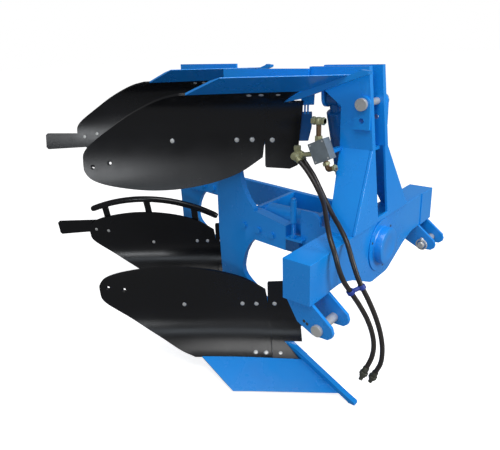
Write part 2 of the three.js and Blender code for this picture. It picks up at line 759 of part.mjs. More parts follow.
function topLinkPin() {
  const outer = MAST_HALF_GAP + MAST_PLATE + PAD_THICK;
  const head = outer + GAP;
  const at = (x) => [x, PAD_MIDDLE, TOP_LINK_HEIGHT];
  const pin = join(
    rod(at(-outer - PIN_END), at(head + PIN_HEAD_THICK), TOP_LINK_PIN, PIN_ROUND),
    rod(at(head), at(head + PIN_HEAD_THICK), TOP_LINK_PIN + PIN_HEAD_EXTRA, PIN_ROUND),
  );
  return cut(pin, linchHole([-outer - PIN_END / 2, PAD_MIDDLE, TOP_LINK_HEIGHT]));
}

const linchHole = ([x, y, z]) =>
  rod([x, y, z - LINK_PIN - CUT], [x, y, z + LINK_PIN + CUT], LINCH_PIN + GAP, BOLT_SIDES);

// Linch pin: shank through the pin, head above it and a ring snapped round the end of the pin
function linchPin([x, y, z], radius) {
  const head = z + radius + GAP;
  const ring = new THREE.TorusGeometry(LINCH_RING, LINCH_WIRE, LINCH_WIRE_SIDES, LINCH_RING_STEPS);
  ring.rotateY(Math.PI / 2);
  ring.translate(x, y, z);
  return join(
    rod([x, y, z - radius - PIN_HEAD_EXTRA], [x, y, head], LINCH_PIN, BOLT_SIDES),
    rod([x, y, head], [x, y, head + PIN_HEAD_THICK + LINCH_WIRE], LINCH_HEAD, BOLT_SIDES),
    solidOf(ring),
  );
}

const EAR_FROM = BEAM_BOTTOM - GAP;
const LINK_Y = BEAM_REAR + LINK_PIN_FORWARD;
const LINK_Z = EAR_FROM - LINK_PIN_DROP;
const EAR_MIDDLES = [HITCH_SPREAD / 2 - EAR_SPACING / 2, HITCH_SPREAD / 2 + EAR_SPACING / 2];

function hitchEar(middle) {
  const outline = scaled(ear_shares, BEAM_REAR, EAR_LENGTH, EAR_FROM, -EAR_DROP);
  const solid = plate("x", outline, middle - EAR_THICK / 2, middle + EAR_THICK / 2);
  const hole = rod([0, LINK_Y, LINK_Z], [BEAM_HALF, LINK_Y, LINK_Z], LINK_PIN + GAP, PIN_ROUND);
  return cut(solid, hole);
}

const LINK_PIN_INNER = EAR_MIDDLES[0] - EAR_THICK / 2 - PIN_END;

// Lower-link pin across both ears
function hitchPin() {
  const outside = EAR_MIDDLES[1] + EAR_THICK / 2 + GAP;
  const at = (x) => [x, LINK_Y, LINK_Z];
  const pin = join(
    rod(at(LINK_PIN_INNER), at(outside + PIN_HEAD_THICK), LINK_PIN, PIN_ROUND),
    rod(at(outside), at(outside + PIN_HEAD_THICK), LINK_PIN + PIN_HEAD_EXTRA / 2, PIN_ROUND),
  );
  return cut(pin, linchHole([LINK_PIN_INNER + PIN_END / 2, LINK_Y, LINK_Z]));
}

// Turnover cylinder: local axis from the top pin to the crank pin
const crankPin = new THREE.Vector3(-CRANK, CYLINDER_Y, 0);
const topPin = new THREE.Vector3(0, CYLINDER_Y, CYLINDER_TOP_Z);
const cylinderLength = crankPin.distanceTo(topPin);
const cylinderWay = crankPin.clone().sub(topPin).normalize();
const onAxis = (length) => topPin.clone().addScaledVector(cylinderWay, length).toArray();
const acrossAt = (point, from, to, radius, sides = ROUND) =>
  rod([point[0], from, point[2]], [point[0], to, point[2]], radius, sides);

// Top plate between the mast plates, with two lugs for the cylinder
function cylinderBracket() {
  const half = EYE_WIDTH / 2 + LUG_CLEARANCE;
  const top = MAST_TOP - BRACKET_DROP - LUG_THICK;
  const width = MAST_HALF_GAP - GAP;
  const lugs = [
    [CYLINDER_Y - half - LUG_THICK, CYLINDER_Y - half],
    [CYLINDER_Y + half, CYLINDER_Y + half + LUG_THICK],
  ];
  let solid = box([-width, width], [MAST_TAIL, MAST_REAR / 2], [top, top + LUG_THICK]);
  for (const [from, to] of lugs) {
    const outline = [
      [-width, top + WELD], [width, top + WELD],
      [LUG_ROUND, CYLINDER_TOP_Z], [-LUG_ROUND, CYLINDER_TOP_Z],
    ];
    solid = join(solid, plate("y", outline, from, to), acrossAt(topPin.toArray(), from, to, LUG_ROUND));
  }
  const bore = CYLINDER_PIN + GAP;
  return cut(solid, acrossAt(topPin.toArray(), MAST_TAIL, 0, bore, PIN_ROUND));
}

function cylinderTopPin() {
  const half = EYE_WIDTH / 2 + LUG_CLEARANCE + LUG_THICK;
  const tail = CYLINDER_Y - half - PIN_HEAD_THICK;
  const head = CYLINDER_Y + half + GAP;
  const end = head + PIN_HEAD_THICK / 2;
  return join(
    acrossAt(topPin.toArray(), tail, end, CYLINDER_PIN, PIN_ROUND),
    acrossAt(topPin.toArray(), head, end, CYLINDER_PIN + PIN_HEAD_EXTRA, PIN_ROUND),
  );
}

function cylinderBarrel() {
  const half = EYE_WIDTH / 2;
  const rear = CYLINDER_Y - half;
  const front = CYLINDER_Y + half;
  const solid = join(
    rod(onAxis(BARREL_FROM), onAxis(BARREL_TO), BARREL),
    rod(onAxis(0), onAxis(BARREL_FROM + CUT), EYE_NECK, PIN_ROUND),
    acrossAt(topPin.toArray(), rear, front, EYE),
  );
  return cut(
    solid,
    acrossAt(topPin.toArray(), rear - CUT, front + CUT, CYLINDER_PIN + GAP, PIN_ROUND),
    rod(onAxis(BARREL_FROM + BARREL_HEAD), onAxis(BARREL_TO - GLAND), BARREL_BORE),
    rod(onAxis(BARREL_TO - GLAND - CUT), onAxis(BARREL_TO + CUT), ROD + GAP, PIN_ROUND),
  );
}

function cylinderRod() {
  const pistonEnd = BARREL_TO - GLAND - LUG_CLEARANCE;
  const half = EYE_WIDTH / 2;
  const pinHalf = (YOKE_FRONT - YOKE_PLATE - YOKE_REAR) / 2 - LUG_CLEARANCE / 2;
  const end = crankPin.toArray();
  return join(
    rod(onAxis(pistonEnd - PISTON_LENGTH), onAxis(pistonEnd), BARREL_BORE - GAP),
    rod(onAxis(pistonEnd - CUT / 2), onAxis(cylinderLength - EYE / 2), ROD, PIN_ROUND),
    acrossAt(end, CYLINDER_Y - half, CYLINDER_Y + half, EYE),
    acrossAt(end, CYLINDER_Y - pinHalf, CYLINDER_Y + pinHalf, CRANK_PIN, PIN_ROUND),
  );
}

// Turning frame: shaft, yoke and rails
function turnoverShaft() {
  const rear = YOKE_FRONT - YOKE_PLATE;
  const shoulder = CAP_FROM;
  return join(
    rod([0, rear, 0], [0, shoulder, 0], SHAFT, SHAFT_ROUND),
    rod([0, shoulder - CUT, 0], [0, shoulder + CAP_LENGTH - CAP_WALL - GAP, 0], SHAFT_THREAD, ROUND),
  );
}

function shaftNut() {
  const from = CAP_FROM + GAP;
  const to = from + SHAFT_NUT_THICK;
  const nut = rod([0, from, 0], [0, to, 0], SHAFT_NUT, BOLT_SIDES);
  return cut(nut, rod([0, from - CUT, 0], [0, to + CUT, 0], SHAFT_THREAD + GAP, ROUND));
}

const STOP_X = YOKE_ARM - STOP_LUG_WIDTH / 2;
const STOP_Y = YOKE_FRONT + STOP_LUG_LENGTH / 2;
const STOP_REACH = BEAM_TOP - STOP_BLOCK_HEIGHT - GAP;

// Front plate of the yoke: crank ear on the left, stop lug with both stop screws on the right
function yokeFrontPlate() {
  const from = YOKE_FRONT - YOKE_PLATE;
  const tongue = [
    [0, YOKE_DISC], [-CRANK, YOKE_EAR], [-CRANK, -YOKE_EAR], [0, -YOKE_DISC],
    [YOKE_WAIST_ACROSS, -YOKE_WAIST_UP], [YOKE_ARM, -YOKE_ARM_HALF], [YOKE_ARM, YOKE_ARM_HALF],
    [YOKE_WAIST_ACROSS, YOKE_WAIST_UP],
  ];
  const solid = join(
    plate("y", tongue, from, YOKE_FRONT),
    acrossAt([0, 0, 0], from, YOKE_FRONT, YOKE_DISC, WIDE_ROUND),
    acrossAt([-CRANK, 0, 0], from, YOKE_FRONT, YOKE_EAR),
    box(
      [YOKE_ARM - STOP_LUG_WIDTH, YOKE_ARM],
      [YOKE_FRONT - WELD, YOKE_FRONT + STOP_LUG_LENGTH],
      [-STOP_LUG_HALF, STOP_LUG_HALF],
    ),
    rod([STOP_X, STOP_Y, -STOP_REACH], [STOP_X, STOP_Y, STOP_REACH], SCREW, BOLT_SIDES),
    screwNut(STOP_X, STOP_Y, STOP_LUG_HALF - WELD),
    screwNut(STOP_X, STOP_Y, WELD - STOP_LUG_HALF - SCREW_NUT_THICK),
  );
  return cut(
    solid,
    acrossAt([0, 0, 0], from - CUT, YOKE_FRONT + CUT, SHAFT + GAP, SHAFT_ROUND),
    acrossAt([-CRANK, 0, 0], from - CUT, YOKE_FRONT + CUT, CRANK_PIN + GAP, PIN_ROUND),
  );
}

function yokeRearPlate() {
  const from = YOKE_REAR - YOKE_PLATE;
  const solid = box([YOKE_REAR_LEFT, YOKE_REAR_RIGHT], [from, YOKE_REAR], [-YOKE_HALF, YOKE_HALF]);
  return cut(solid, acrossAt([-CRANK, 0, 0], from - CUT, YOKE_REAR + CUT, CRANK_PIN + GAP, PIN_ROUND));
}

const WEB_LEFT = YOKE_REAR_RIGHT + GAP;
const WEB_RIGHT = WEB_LEFT + WEB_THICK;
const ADJUST_X = WEB_RIGHT + SIDE_SHELF_REACH / 2;
const ADJUST_Y = WEB_REAR - ADJUST_BEHIND;

// Web between the yoke plates, with the shelf for the adjusting screw
function yokeWeb() {
  const front = YOKE_FRONT - YOKE_PLATE - GAP;
  const noseY = WEB_NOSE_Y - WEB_NOSE_ROUND;
  const noseZ = WEB_NOSE_HALF - WEB_NOSE_ROUND;
  const outline = new THREE.Shape();
  outline.moveTo(WEB_REAR, -WEB_NOSE_HALF);
  outline.lineTo(noseY, -WEB_NOSE_HALF);
  outline.absarc(noseY, -noseZ, WEB_NOSE_ROUND, -Math.PI / 2, 0, false);
  outline.lineTo(WEB_NOSE_Y, -WEB_HALF);
  outline.lineTo(front, -WEB_HALF);
  outline.lineTo(front, WEB_HALF);
  outline.lineTo(WEB_NOSE_Y, WEB_HALF);
  outline.absarc(noseY, noseZ, WEB_NOSE_ROUND, 0, Math.PI / 2, false);
  outline.lineTo(WEB_REAR, WEB_NOSE_HALF);
  const solid = join(
    plate("x", outline, WEB_LEFT, WEB_RIGHT),
    box(
      [WEB_LEFT, WEB_RIGHT + SIDE_SHELF_REACH],
      [ARM_FRONT + GAP, YOKE_REAR - YOKE_PLATE - GAP],
      [SIDE_SHELF_Z - SIDE_SHELF_THICK, SIDE_SHELF_Z],
    ),
  );
  return cut(
    solid,
    rod([ADJUST_X, ADJUST_Y, -WEB_NOSE_HALF], [ADJUST_X, ADJUST_Y, 0], SCREW + GAP, BOLT_SIDES),
  );
}

const screwNut = (x, y, z) => rod([x, y, z], [x, y, z + SCREW_NUT_THICK], SCREW_NUT, BOLT_SIDES);

// Width-adjusting screw beside the yoke, with its two nuts and the sleeve that turns it
function adjustingScrew() {
  const sleeveFrom = YOKE_HALF - SCREW_NUT_THICK;
  return join(
    rod([ADJUST_X, ADJUST_Y, -YOKE_HALF], [ADJUST_X, ADJUST_Y, YOKE_HALF], SCREW, BOLT_SIDES),
    rod([ADJUST_X, ADJUST_Y, sleeveFrom], [ADJUST_X, ADJUST_Y, ADJUST_TOP], ADJUST_SLEEVE, COARSE),
    screwNut(ADJUST_X, ADJUST_Y, SIDE_SHELF_Z + GAP),
    screwNut(ADJUST_X, ADJUST_Y, sleeveFrom - SCREW_NUT_THICK / 2),
  );
}

const ARM_LENGTH = ARM_FRONT - ARM_REAR;
const frameBolts = frame_bolt_shares.map((share) => [
  FRAME_BOLT_FIRST + share * FRAME_BOLT_RUN,
  -FRAME_BOLT_LEVEL - share * FRAME_BOLT_DROP,
]);
const boltHoles = (from, to) =>
  join(...frameBolts.map(([y, z]) => rod([from, y, z], [to, y, z], FRAME_BOLT + GAP, BOLT_SIDES)));

function nearRail() {
  const outline = scaled(arm_shares, ARM_REAR, ARM_LENGTH, 0, RAIL_HALF);
  const right = RAIL_RIGHT - RAIL - GAP;
  const solid = plate("x", outline, right - RAIL, right);
  return cut(solid, boltHoles(right - RAIL - CUT, right + CUT));
}

const FAR_LEFT = RAIL_RIGHT + BODY_STEP_X + GAP;
const FAR_RIGHT = FAR_LEFT + RAIL;
const YOKE_TAIL = YOKE_REAR - YOKE_PLATE - GAP;

function movedBack(solid) {
  return solidOf(geometryOf(solid).translate(BODY_STEP_X, BODY_STEP_Y, 0));
}

function farRail() {
  const outline = [
    [FAR_LEFT, FAR_RAIL_END], [FAR_RIGHT, FAR_RAIL_END], [FAR_RIGHT, FAR_RAIL_BEND],
    [FAR_RAIL_START, YOKE_TAIL], [FAR_RAIL_START - RAIL, YOKE_TAIL], [FAR_LEFT, FAR_RAIL_BEND],
  ];
  const solid = plate("z", outline, -RAIL_HALF, RAIL_HALF);
  return cut(solid, movedBack(boltHoles(RAIL_RIGHT - CUT, RAIL_RIGHT + RAIL + CUT)));
}

// Plate between the rails, with the tube that carries the shaft's load back to it
function crossMember() {
  const nearFace = RAIL_RIGHT - RAIL - GAP - RAIL - GAP;
  const rear = CROSS_FRONT - CROSS_THICK;
  const slope = (FAR_RIGHT - FAR_RAIL_START) / (FAR_RAIL_BEND - YOKE_TAIL);
  const farFace = FAR_RAIL_START + slope * (CROSS_FRONT - YOKE_TAIL) + GAP;
  const solid = join(
    box([farFace, nearFace], [rear, CROSS_FRONT], [-RAIL_HALF, RAIL_HALF]),
    acrossAt([TORQUE_X, 0, 0], CROSS_FRONT - WELD, YOKE_TAIL, TORQUE_TUBE),
  );
  return cut(solid, acrossAt([TORQUE_X, 0, 0], rear - CUT, YOKE_TAIL + CUT, TORQUE_TUBE - TORQUE_WALL));
}

// Double-ended leg: column, arm, frogs under the bodies, landsides and mouldboard stays
const smooth = (points, count) =>
  new THREE.SplineCurve(points.map(([a, b]) => new THREE.Vector2(a, b)))
    .getPoints(count)
    .map(({ x, y }) => [x, y]);

// What one end of a leg carries behind the plates
function legFoot(level) {
  const back = SOIL_PLATE + GAP;
  const highest = Math.max(...plough_bolt_shares.map(([, rise]) => rise));
  const top = SHARE_JOINT - highest * BOARD_HEIGHT - FROG_ABOVE_BOLT;
  const height = GROUND - FROG_FOOT - top;
  const frog = sheet(back, back + FROG_THICK, level).intersect(
    bodyPrism(scaled(frog_shares, FROG_FROM, FROG_LENGTH, top, height), level),
  );
  const landsideOutline = scaled(
    landside_shares,
    LANDSIDE_REAR,
    LANDSIDE_LENGTH,
    level * (GROUND - LANDSIDE_HEIGHT),
    level * LANDSIDE_HEIGHT,
  );
  const landside = plate("x", landsideOutline, LANDSIDE_LEFT, LANDSIDE_LEFT + LANDSIDE_THICK);
  const [stayAlong, stayRise] = ploughBolts[0];
  const pad = alongNormal(stayAlong, stayRise, back, back + FROG_THICK, STAY_PAD, level, COARSE);
  const way = backward(stayAlong, stayRise, level);
  const stayEnd = bodyPoint(stayAlong, stayRise, back + FROG_THICK, level).addScaledVector(way, -CUT);
  const stayFoot = [RAIL_RIGHT - RAIL / 2, STAY_Y, level * STAY_DEPTH];
  const stay = rod(stayFoot, stayEnd.toArray(), STAY, COARSE);
  return join(frog, landside, pad, stay);
}

// Bolt through a rail, one with its leg: `head` and `end` are the outer faces under head and nut
function frameBolt([y, z], head, end) {
  const way = Math.sign(head - end);
  return join(
    rod([head, y, z], [end, y, z], FRAME_BOLT, BOLT_SIDES),
    rod([head, y, z], [head + way * FRAME_BOLT_HEAD_THICK, y, z], FRAME_BOLT_HEAD, BOLT_SIDES),
    rod([end, y, z], [end - way * FRAME_BOLT_HEAD_THICK, y, z], FRAME_BOLT_HEAD, BOLT_SIDES),
  );
}

// The front leg has its rail on the left of its arm, the rear leg on the right
function leg(railOnLeft) {
  const half = [...smooth(leg_throat_shares, THROAT_STEPS), ...leg_foot_shares, ...leg_back_shares];
  const other = half.map(([a, b]) => [a, -b]).reverse();
  const left = RAIL_RIGHT - RAIL;
  const columnOutline = scaled([...half, ...other], LEG_REAR, LEG_LENGTH, 0, LEG_HALF);
  const armOutline = scaled(arm_shares, ARM_REAR, ARM_LENGTH, 0, RAIL_HALF);
  const column = plate("x", columnOutline, left, RAIL_RIGHT);
  const arm = plate("x", armOutline, left, RAIL_RIGHT);
  const screwed = SOIL_PLATE + GAP + FROG_THICK / 2;
  const bodyBolts = [];
  let solid = join(column, arm, legFoot(-1), legFoot(1));
  for (const level of [-1, 1]) {
    solid = cut(solid, sheet(-SURFACE_RADIUS / 2, SOIL_PLATE + GAP, level));
    bodyBolts.push(...ploughBolts.map((place) => ploughBolt(place, screwed, level)));
  }
  const railBolts = frameBolts.map((place) =>
    railOnLeft
      ? frameBolt(place, RAIL_RIGHT - WELD, left - RAIL - 2 * GAP)
      : frameBolt(place, RAIL_RIGHT + RAIL + 2 * GAP, left + WELD),
  );
  return join(solid, ...bodyBolts, ...railBolts);
}

// Plates of one body, in front of the frog
function outlineBoard() {
  return scaled(board_shares, BOARD_TAIL, BOARD_LENGTH - GAP, SHARE_JOINT - GAP / 2, -BOARD_HEIGHT);
}

function outlineShin() {
  return scaled(shin_shares, SHIN_BACK, SHIN_LENGTH, SHARE_JOINT - GAP / 2, -SHIN_HEIGHT);
}

function outlineShare() {
  return [
    [SHARE_TOP_FROM, SHARE_JOINT + GAP / 2], [SHARE_TOP_TO, SHARE_JOINT + GAP / 2],
    [SHARE_EDGE_TO, GROUND - SHARE_EDGE_RISE], [SHARE_EDGE_FROM, GROUND - SHARE_REAR_RISE],
  ];
}

function mouldboard(level) {
  const solid = sheet(0, SOIL_PLATE, level).intersect(bodyPrism(outlineBoard(), level));
  return cut(solid, ploughHoles([...ploughBolts, ...tailBolts], SOIL_PLATE + CUT, level));
}

function shin(level) {
  const solid = sheet(0, SOIL_PLATE, level).intersect(bodyPrism(outlineShin(), level));
  return cut(solid, ploughHoles(ploughBolts, SOIL_PLATE + CUT, level));
}

function share(level) {
  return sheet(0, SOIL_PLATE, level).intersect(bodyPrism(outlineShare(), level));
}

// Reversible bar point: it lies on the shin and the front edge of the share
function barPoint(level) {
  const outline = scaled(
    bar_shares,
    BAR_TOP_Y,
    BAR_LENGTH,
    level * (GROUND - BAR_HEIGHT),
    level * BAR_HEIGHT,
  );
  const straight = geometryOf(plate("x", outline, BAR_LEFT, BAR_LEFT + BAR_WIDTH));
  const lean = new THREE.Matrix4().makeShear(0, 0, BAR_LEAN, 0, 0, 0);
  const bar = solidOf(straight.applyMatrix4(lean));
  const shinToe = SHIN_TOE_SHARE * SHIN_HEIGHT;
  const seat = [
    [SHIN_BACK, SHARE_JOINT - SHIN_HEIGHT], [SHIN_BACK + SHIN_LENGTH + GAP, SHARE_JOINT - SHIN_HEIGHT],
    [SHIN_BACK + SHIN_LENGTH + GAP, SHARE_JOINT - shinToe], [SHARE_TOP_TO + GAP, SHARE_JOINT - GAP],
    [SHARE_EDGE_TO + GAP, GROUND - SHARE_EDGE_RISE], [SHARE_EDGE_TO + GAP, GROUND + CUT],
    [SHIN_BACK, GROUND + CUT],
  ];
  const room = sheet(-GAP, SURFACE_RADIUS / 2, level).intersect(bodyPrism(seat, level));
  return cut(bar, room);
}

// Extension of the mouldboard's tail, with its two bolts
function tailPiece(level) {
  const front = SOIL_PLATE + GAP;
  const top = SHARE_JOINT - tail_hole_shares[0][1] * BOARD_HEIGHT - TAIL_ABOVE_BOLT;
  const outline = scaled(tail_shares, TAIL_FROM, TAIL_LENGTH, top, TAIL_WIDTH);
  const back = front + TAIL_THICK;
  const bolts = tailBolts.map(([along, rise]) =>
    join(
      ploughBolt([along, rise], back + PLOUGH_NUT_THICK, level),
      alongNormal(along, rise, (front + back) / 2, back + PLOUGH_NUT_THICK, PLOUGH_HEAD, level),
    ),
  );
  return join(sheet(front, back, level).intersect(bodyPrism(outline, level)), ...bolts);
}

function circle(radius, sides) {
  const points = steps(0, 2 * Math.PI, sides).slice(0, sides);
  return shapeOf(points.map((angle) => [radius * Math.cos(angle), radius * Math.sin(angle)]));
}

function tubeAlong(curve, radius, sides, count) {
  const settings = { steps: count, extrudePath: curve };
  return solidOf(new THREE.ExtrudeGeometry(circle(radius, sides), settings));
}

// Guard rod above the tail of a rear body, with its three posts behind the mouldboard
function guardRod(level) {
  const front = SOIL_PLATE + GAP;
  const middle = front + TAIL_THICK / 2;
  const line = new THREE.QuadraticBezierCurve(
    new THREE.Vector2(GUARD_FROM, GUARD_TAIL_DEPTH),
    new THREE.Vector2(GUARD_FROM + GUARD_LENGTH / 2, GUARD_MIDDLE_DEPTH),
    new THREE.Vector2(GUARD_FROM + GUARD_LENGTH, GUARD_FRONT_DEPTH),
  );
  const points = line.getPoints(GUARD_POINTS).map(({ x, y }) => bodyPoint(x, riseAt(y), middle, level));
  const posts = guard_post_shares.map(([place, reach]) => {
    const along = GUARD_FROM + place * GUARD_LENGTH;
    const half = GUARD_POST_WIDTH / 2;
    const top = line.getPoint(place).y;
    const foot = GUARD_POST_DEPTH * reach;
    const outline = [
      [along - half, top], [along + half, top], [along + half, foot], [along - half, foot],
    ];
    return sheet(front, front + TAIL_THICK, level).intersect(bodyPrism(outline, level));
  });
  return join(tubeAlong(new THREE.CatmullRomCurve3(points), GUARD, BOLT_SIDES, GUARD_STEPS), ...posts);
}

// Valve block on its bracket, with the fittings that the hoses leave from
const VALVE_X = VALVE_LEFT + VALVE_WIDTH / 2;

function inValve(solid) {
  const geometry = geometryOf(solid);
  geometry.rotateX(radians(VALVE_TILT));
  return solidOf(geometry.translate(VALVE_X, VALVE_Y, VALVE_Z));
}

const aroundMiddle = (width, extra = 0) => [-width / 2 - extra, width / 2 + extra];

function valveRoom(extra) {
  const sides = [VALVE_WIDTH, VALVE_LENGTH, VALVE_HEIGHT].map((size) => aroundMiddle(size, extra));
  return inValve(box(...sides));
}

// Place in the middle plane of the block, given along and above its middle
function onValve(along, up) {
  const tilt = radians(VALVE_TILT);
  return [
    VALVE_X,
    VALVE_Y + along * Math.cos(tilt) - up * Math.sin(tilt),
    VALVE_Z + along * Math.sin(tilt) + up * Math.cos(tilt),
  ];
}

// Block with the elbow under it and the pipe on top
function valveBlock() {
  const corner = onValve(0, -VALVE_HEIGHT / 2 - ELBOW_LENGTH);
  const elbowEnd = [corner[0], corner[1] + ELBOW_LENGTH, corner[2] + NIPPLE];
  const port = onValve(0, VALVE_HEIGHT / 2 - CUT);
  const above = (height) => [port[0], port[1], port[2] + CUT + height];
  return join(
    valveRoom(0),
    rod(onValve(0, 0), corner, ELBOW, COARSE),
    rod([corner[0], corner[1] - NIPPLE, corner[2]], elbowEnd, NIPPLE, COARSE),
    rod(port, above(PIPE_LENGTH), NIPPLE, COARSE),
    rod(port, above(PIPE_COLLAR), PIPE_COLLAR_RADIUS, BOLT_SIDES),
  );
}

// Bracket from the mast plate to the valve block
function valveBracket() {
  const face = VALVE_LENGTH / 2 + GAP;
  const height = aroundMiddle(VALVE_HEIGHT - 2 * BRACKET_PLATE);
  const flange = inValve(box(aroundMiddle(VALVE_WIDTH), [face, face + BRACKET_PLATE], height));
  const rear = MAST_REAR + BRACKET_SETBACK;
  const arm = box(
    [MAST_HALF_GAP + MAST_PLATE + GAP, VALVE_LEFT + VALVE_WIDTH],
    [rear, rear + BRACKET_ARM],
    [MAST_KNEE, MAST_KNEE + BRACKET_ARM_THICK],
  );
  return cut(join(flange, arm), valveRoom(GAP));
}

function routeStart(route) {
  const [first, second] = route.map((point) => new THREE.Vector3(...point));
  const way = second.clone().sub(first).normalize();
  return {
    end: first.clone().addScaledVector(way, -GAP),
    root: first.clone().addScaledVector(way, -HOSE_END_LENGTH),
  };
}

// Cross pipe behind the block with an end fitting for each hose
function hoseFittings() {
  const starts = [left_hose_route, right_hose_route].map(routeStart);
  const ends = starts.map(({ root, end }) => rod(root.toArray(), end.toArray(), HOSE_END, COARSE));
  const [left, right] = starts.map(({ root }) => root);
  const barAt = (x) => [x, left.y, left.z];
  const bar = rod(barAt(right.x - MANIFOLD), barAt(left.x + MANIFOLD), MANIFOLD, COARSE);
  const nipple = rod([VALVE_X, left.y, left.z], onValve(0, 0), NIPPLE, COARSE);
  return cut(join(...ends, bar, nipple), valveRoom(GAP));
}

const pointsOf = (route) => route.map((point) => new THREE.Vector3(...point));
const curveOf = (route) => new THREE.CatmullRomCurve3(pointsOf(route));
const hose = (route) => tubeAlong(curveOf(route), HOSE, HOSE_SIDES, HOSE_STEPS);

// Quick coupler on the free end of a hose
function coupler(route) {
  const [before, last] = route.slice(-2).map((point) => new THREE.Vector3(...point));
  const way = last.clone().sub(before).normalize();
  const at = (length) => last.clone().addScaledVector(way, GAP + length).toArray();
  return join(
    rod(at(0), at(COUPLER_LENGTH), COUPLER, COARSE),
    rod(at(COUPLER_LENGTH / 2), at(COUPLER_COLLAR_TO), COUPLER_COLLAR, COARSE),
    rod(at(COUPLER_LENGTH - CUT), at(COUPLER_NOSE_TO), COUPLER_NOSE, COARSE),
  );
}

// Tie that holds the two hoses together
function hoseTie() {
  const rings = [];
  const middles = [];
  for (const [route, point] of [[left_hose_route, TIE_LEFT_POINT], [right_hose_route, TIE_RIGHT_POINT]]) {
    const curve = curveOf(route);
    const share = point / (route.length - 1);
    const middle = curve.getPoint(share);
    const way = curve.getTangent(share);
    const from = middle.clone().addScaledVector(way, -TIE_LENGTH / 2);
    const to = middle.clone().addScaledVector(way, TIE_LENGTH / 2);
    rings.push(rod(from.toArray(), to.toArray(), HOSE + GAP + TIE_WALL, COARSE));
    middles.push(middle.toArray());
  }
  const bridge = rod(middles[0], middles[1], TIE_LENGTH / 2, BOLT_SIDES);
  const rooms = [left_hose_route, right_hose_route].map((route) =>
    tubeAlong(curveOf(route), HOSE + 2 * GAP, HOSE_SIDES, HOSE_STEPS),
  );
  return cut(join(...rings, bridge), ...rooms);
}

// Assembly: the headstock side stands still, the frame turns with the shaft
addPiece("headstock_beam", headstockBeam(), BLUE);
addPiece("front_plate", frontPlate(), BLUE);
addPiece("hub_cap", hubCap(), BLUE);
addPiece("hub_bush", hubBush(), BRONZE);
addPiece("mast_plate_right", mastPlateWithShelf(), BLUE);
addPiece("mast_plate_left", mirrored(mastPlate(), "x"), BLUE);
addPiece("mast_front_plate", mastFrontPlate(), BLUE);
addPiece("top_link_pin", topLinkPin(), STEEL);
addPiece("cylinder_bracket", cylinderBracket(), BLUE);
addPiece("cylinder_top_pin", cylinderTopPin(), STEEL);
EAR_MIDDLES.forEach((middle, order) => {
  const ear = hitchEar(middle);
  const place = ["inner", "outer"][order];
  addPiece(`hitch_ear_right_${place}`, ear, BLUE);
  addPiece(`hitch_ear_left_${place}`, mirrored(ear, "x"), BLUE);
});
addPiece("hitch_pin_right", hitchPin(), STEEL);
addPiece("hitch_pin_left", mirrored(hitchPin(), "x"), STEEL);
const hitchLinch = linchPin([LINK_PIN_INNER + PIN_END / 2, LINK_Y, LINK_Z], LINK_PIN);
const outerPad = MAST_HALF_GAP + MAST_PLATE + PAD_THICK;
const topLinch = linchPin([-outerPad - PIN_END / 2, PAD_MIDDLE, TOP_LINK_HEIGHT], TOP_LINK_PIN);
addPiece("hitch_linch_pin_right", hitchLinch, STEEL);
addPiece("hitch_linch_pin_left", mirrored(hitchLinch, "x"), STEEL);
addPiece("top_link_linch_pin", topLinch, STEEL);
addPiece("valve_block", valveBlock(), GREY);
addPiece("valve_bracket", valveBracket(), BLUE);
addPiece("hose_fittings", hoseFittings(), ZINC);
addPiece("cylinder_barrel", cylinderBarrel(), BLUE);
addPiece("cylinder_rod", cylinderRod(), CHROME);

const frame = new THREE.Group();
machine.add(frame);
addPiece("turnover_shaft", turnoverShaft(), STEEL, frame);
addPiece("shaft_nut", shaftNut(), STEEL, frame);
addPiece("yoke_front_plate", yokeFrontPlate(), BLUE, frame);
addPiece("yoke_rear_plate", yokeRearPlate(), BLUE, frame);
addPiece("yoke_web", yokeWeb(), BLUE, frame);
addPiece("adjusting_screw", adjustingScrew(), BLUE, frame);
addPiece("near_rail", nearRail(), BLUE, frame);
addPiece("far_rail", farRail(), BLUE, frame);
addPiece("cross_member", crossMember(), BLUE, frame);

const plates = [
  ["mouldboard", mouldboard, BLACK],
  ["shin", shin, BLACK],
  ["share", share, BLUE],
  ["bar_point", barPoint, BLUE],
];
const bodyPlates = [];
for (const [end, level] of [["lower", -1], ["upper", 1]]) {
  for (const [name, make, material] of plates) {
    bodyPlates.push({ name, end, solid: make(level), material });
  }
}
for (const [place, x, y] of [["front", 0, 0], ["rear", BODY_STEP_X, BODY_STEP_Y]]) {
  const group = new THREE.Group();
  group.position.set(x, y, 0);
  frame.add(group);
  addPiece(`leg_${place}`, leg(place === "front"), BLUE, group);
  for (const { name, end, solid, material } of bodyPlates) {
    addPiece(`${name}_${place}_${end}`, solid, material, group);
  }
  if (place === "front") continue;
  for (const [end, level] of [["lower", -1], ["upper", 1]]) {
    addPiece(`tail_piece_${end}`, tailPiece(level), BLACK, group);
    addPiece(`guard_rod_${end}`, guardRod(level), BLACK, group);
  }
}

// The part stands on its lower bodies: its origin is the middle of its foot, hoses left aside
const bounds = new THREE.Box3().setFromObject(machine);
const middle = bounds.getCenter(new THREE.Vector3());
machine.position.set(-middle.x, -middle.y, -bounds.min.z);

addPiece("hose_left", hose(left_hose_route), RUBBER);
addPiece("hose_right", hose(right_hose_route), RUBBER);
addPiece("hose_coupler_left", coupler(left_hose_route), ZINC);
addPiece("hose_coupler_right", coupler(right_hose_route), ZINC);
addPiece("hose_tie", hoseTie(), TIE_BLUE);

export default machine;
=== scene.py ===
"""Reversible plough: fine surfaces, finishes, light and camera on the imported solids.

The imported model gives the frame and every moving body. Each class below holds one
sub-assembly: its sizes are dataclass fields in millimetres, measured from the machine's own
origin on the axis of the turnover shaft, and its methods build and dress its pieces.
"""
import json
import logging
import math
from dataclasses import dataclass
from enum import Enum
from functools import lru_cache
from typing import Iterable, Sequence

import bmesh
import bpy
import numpy as np
from mathutils import Matrix, Vector


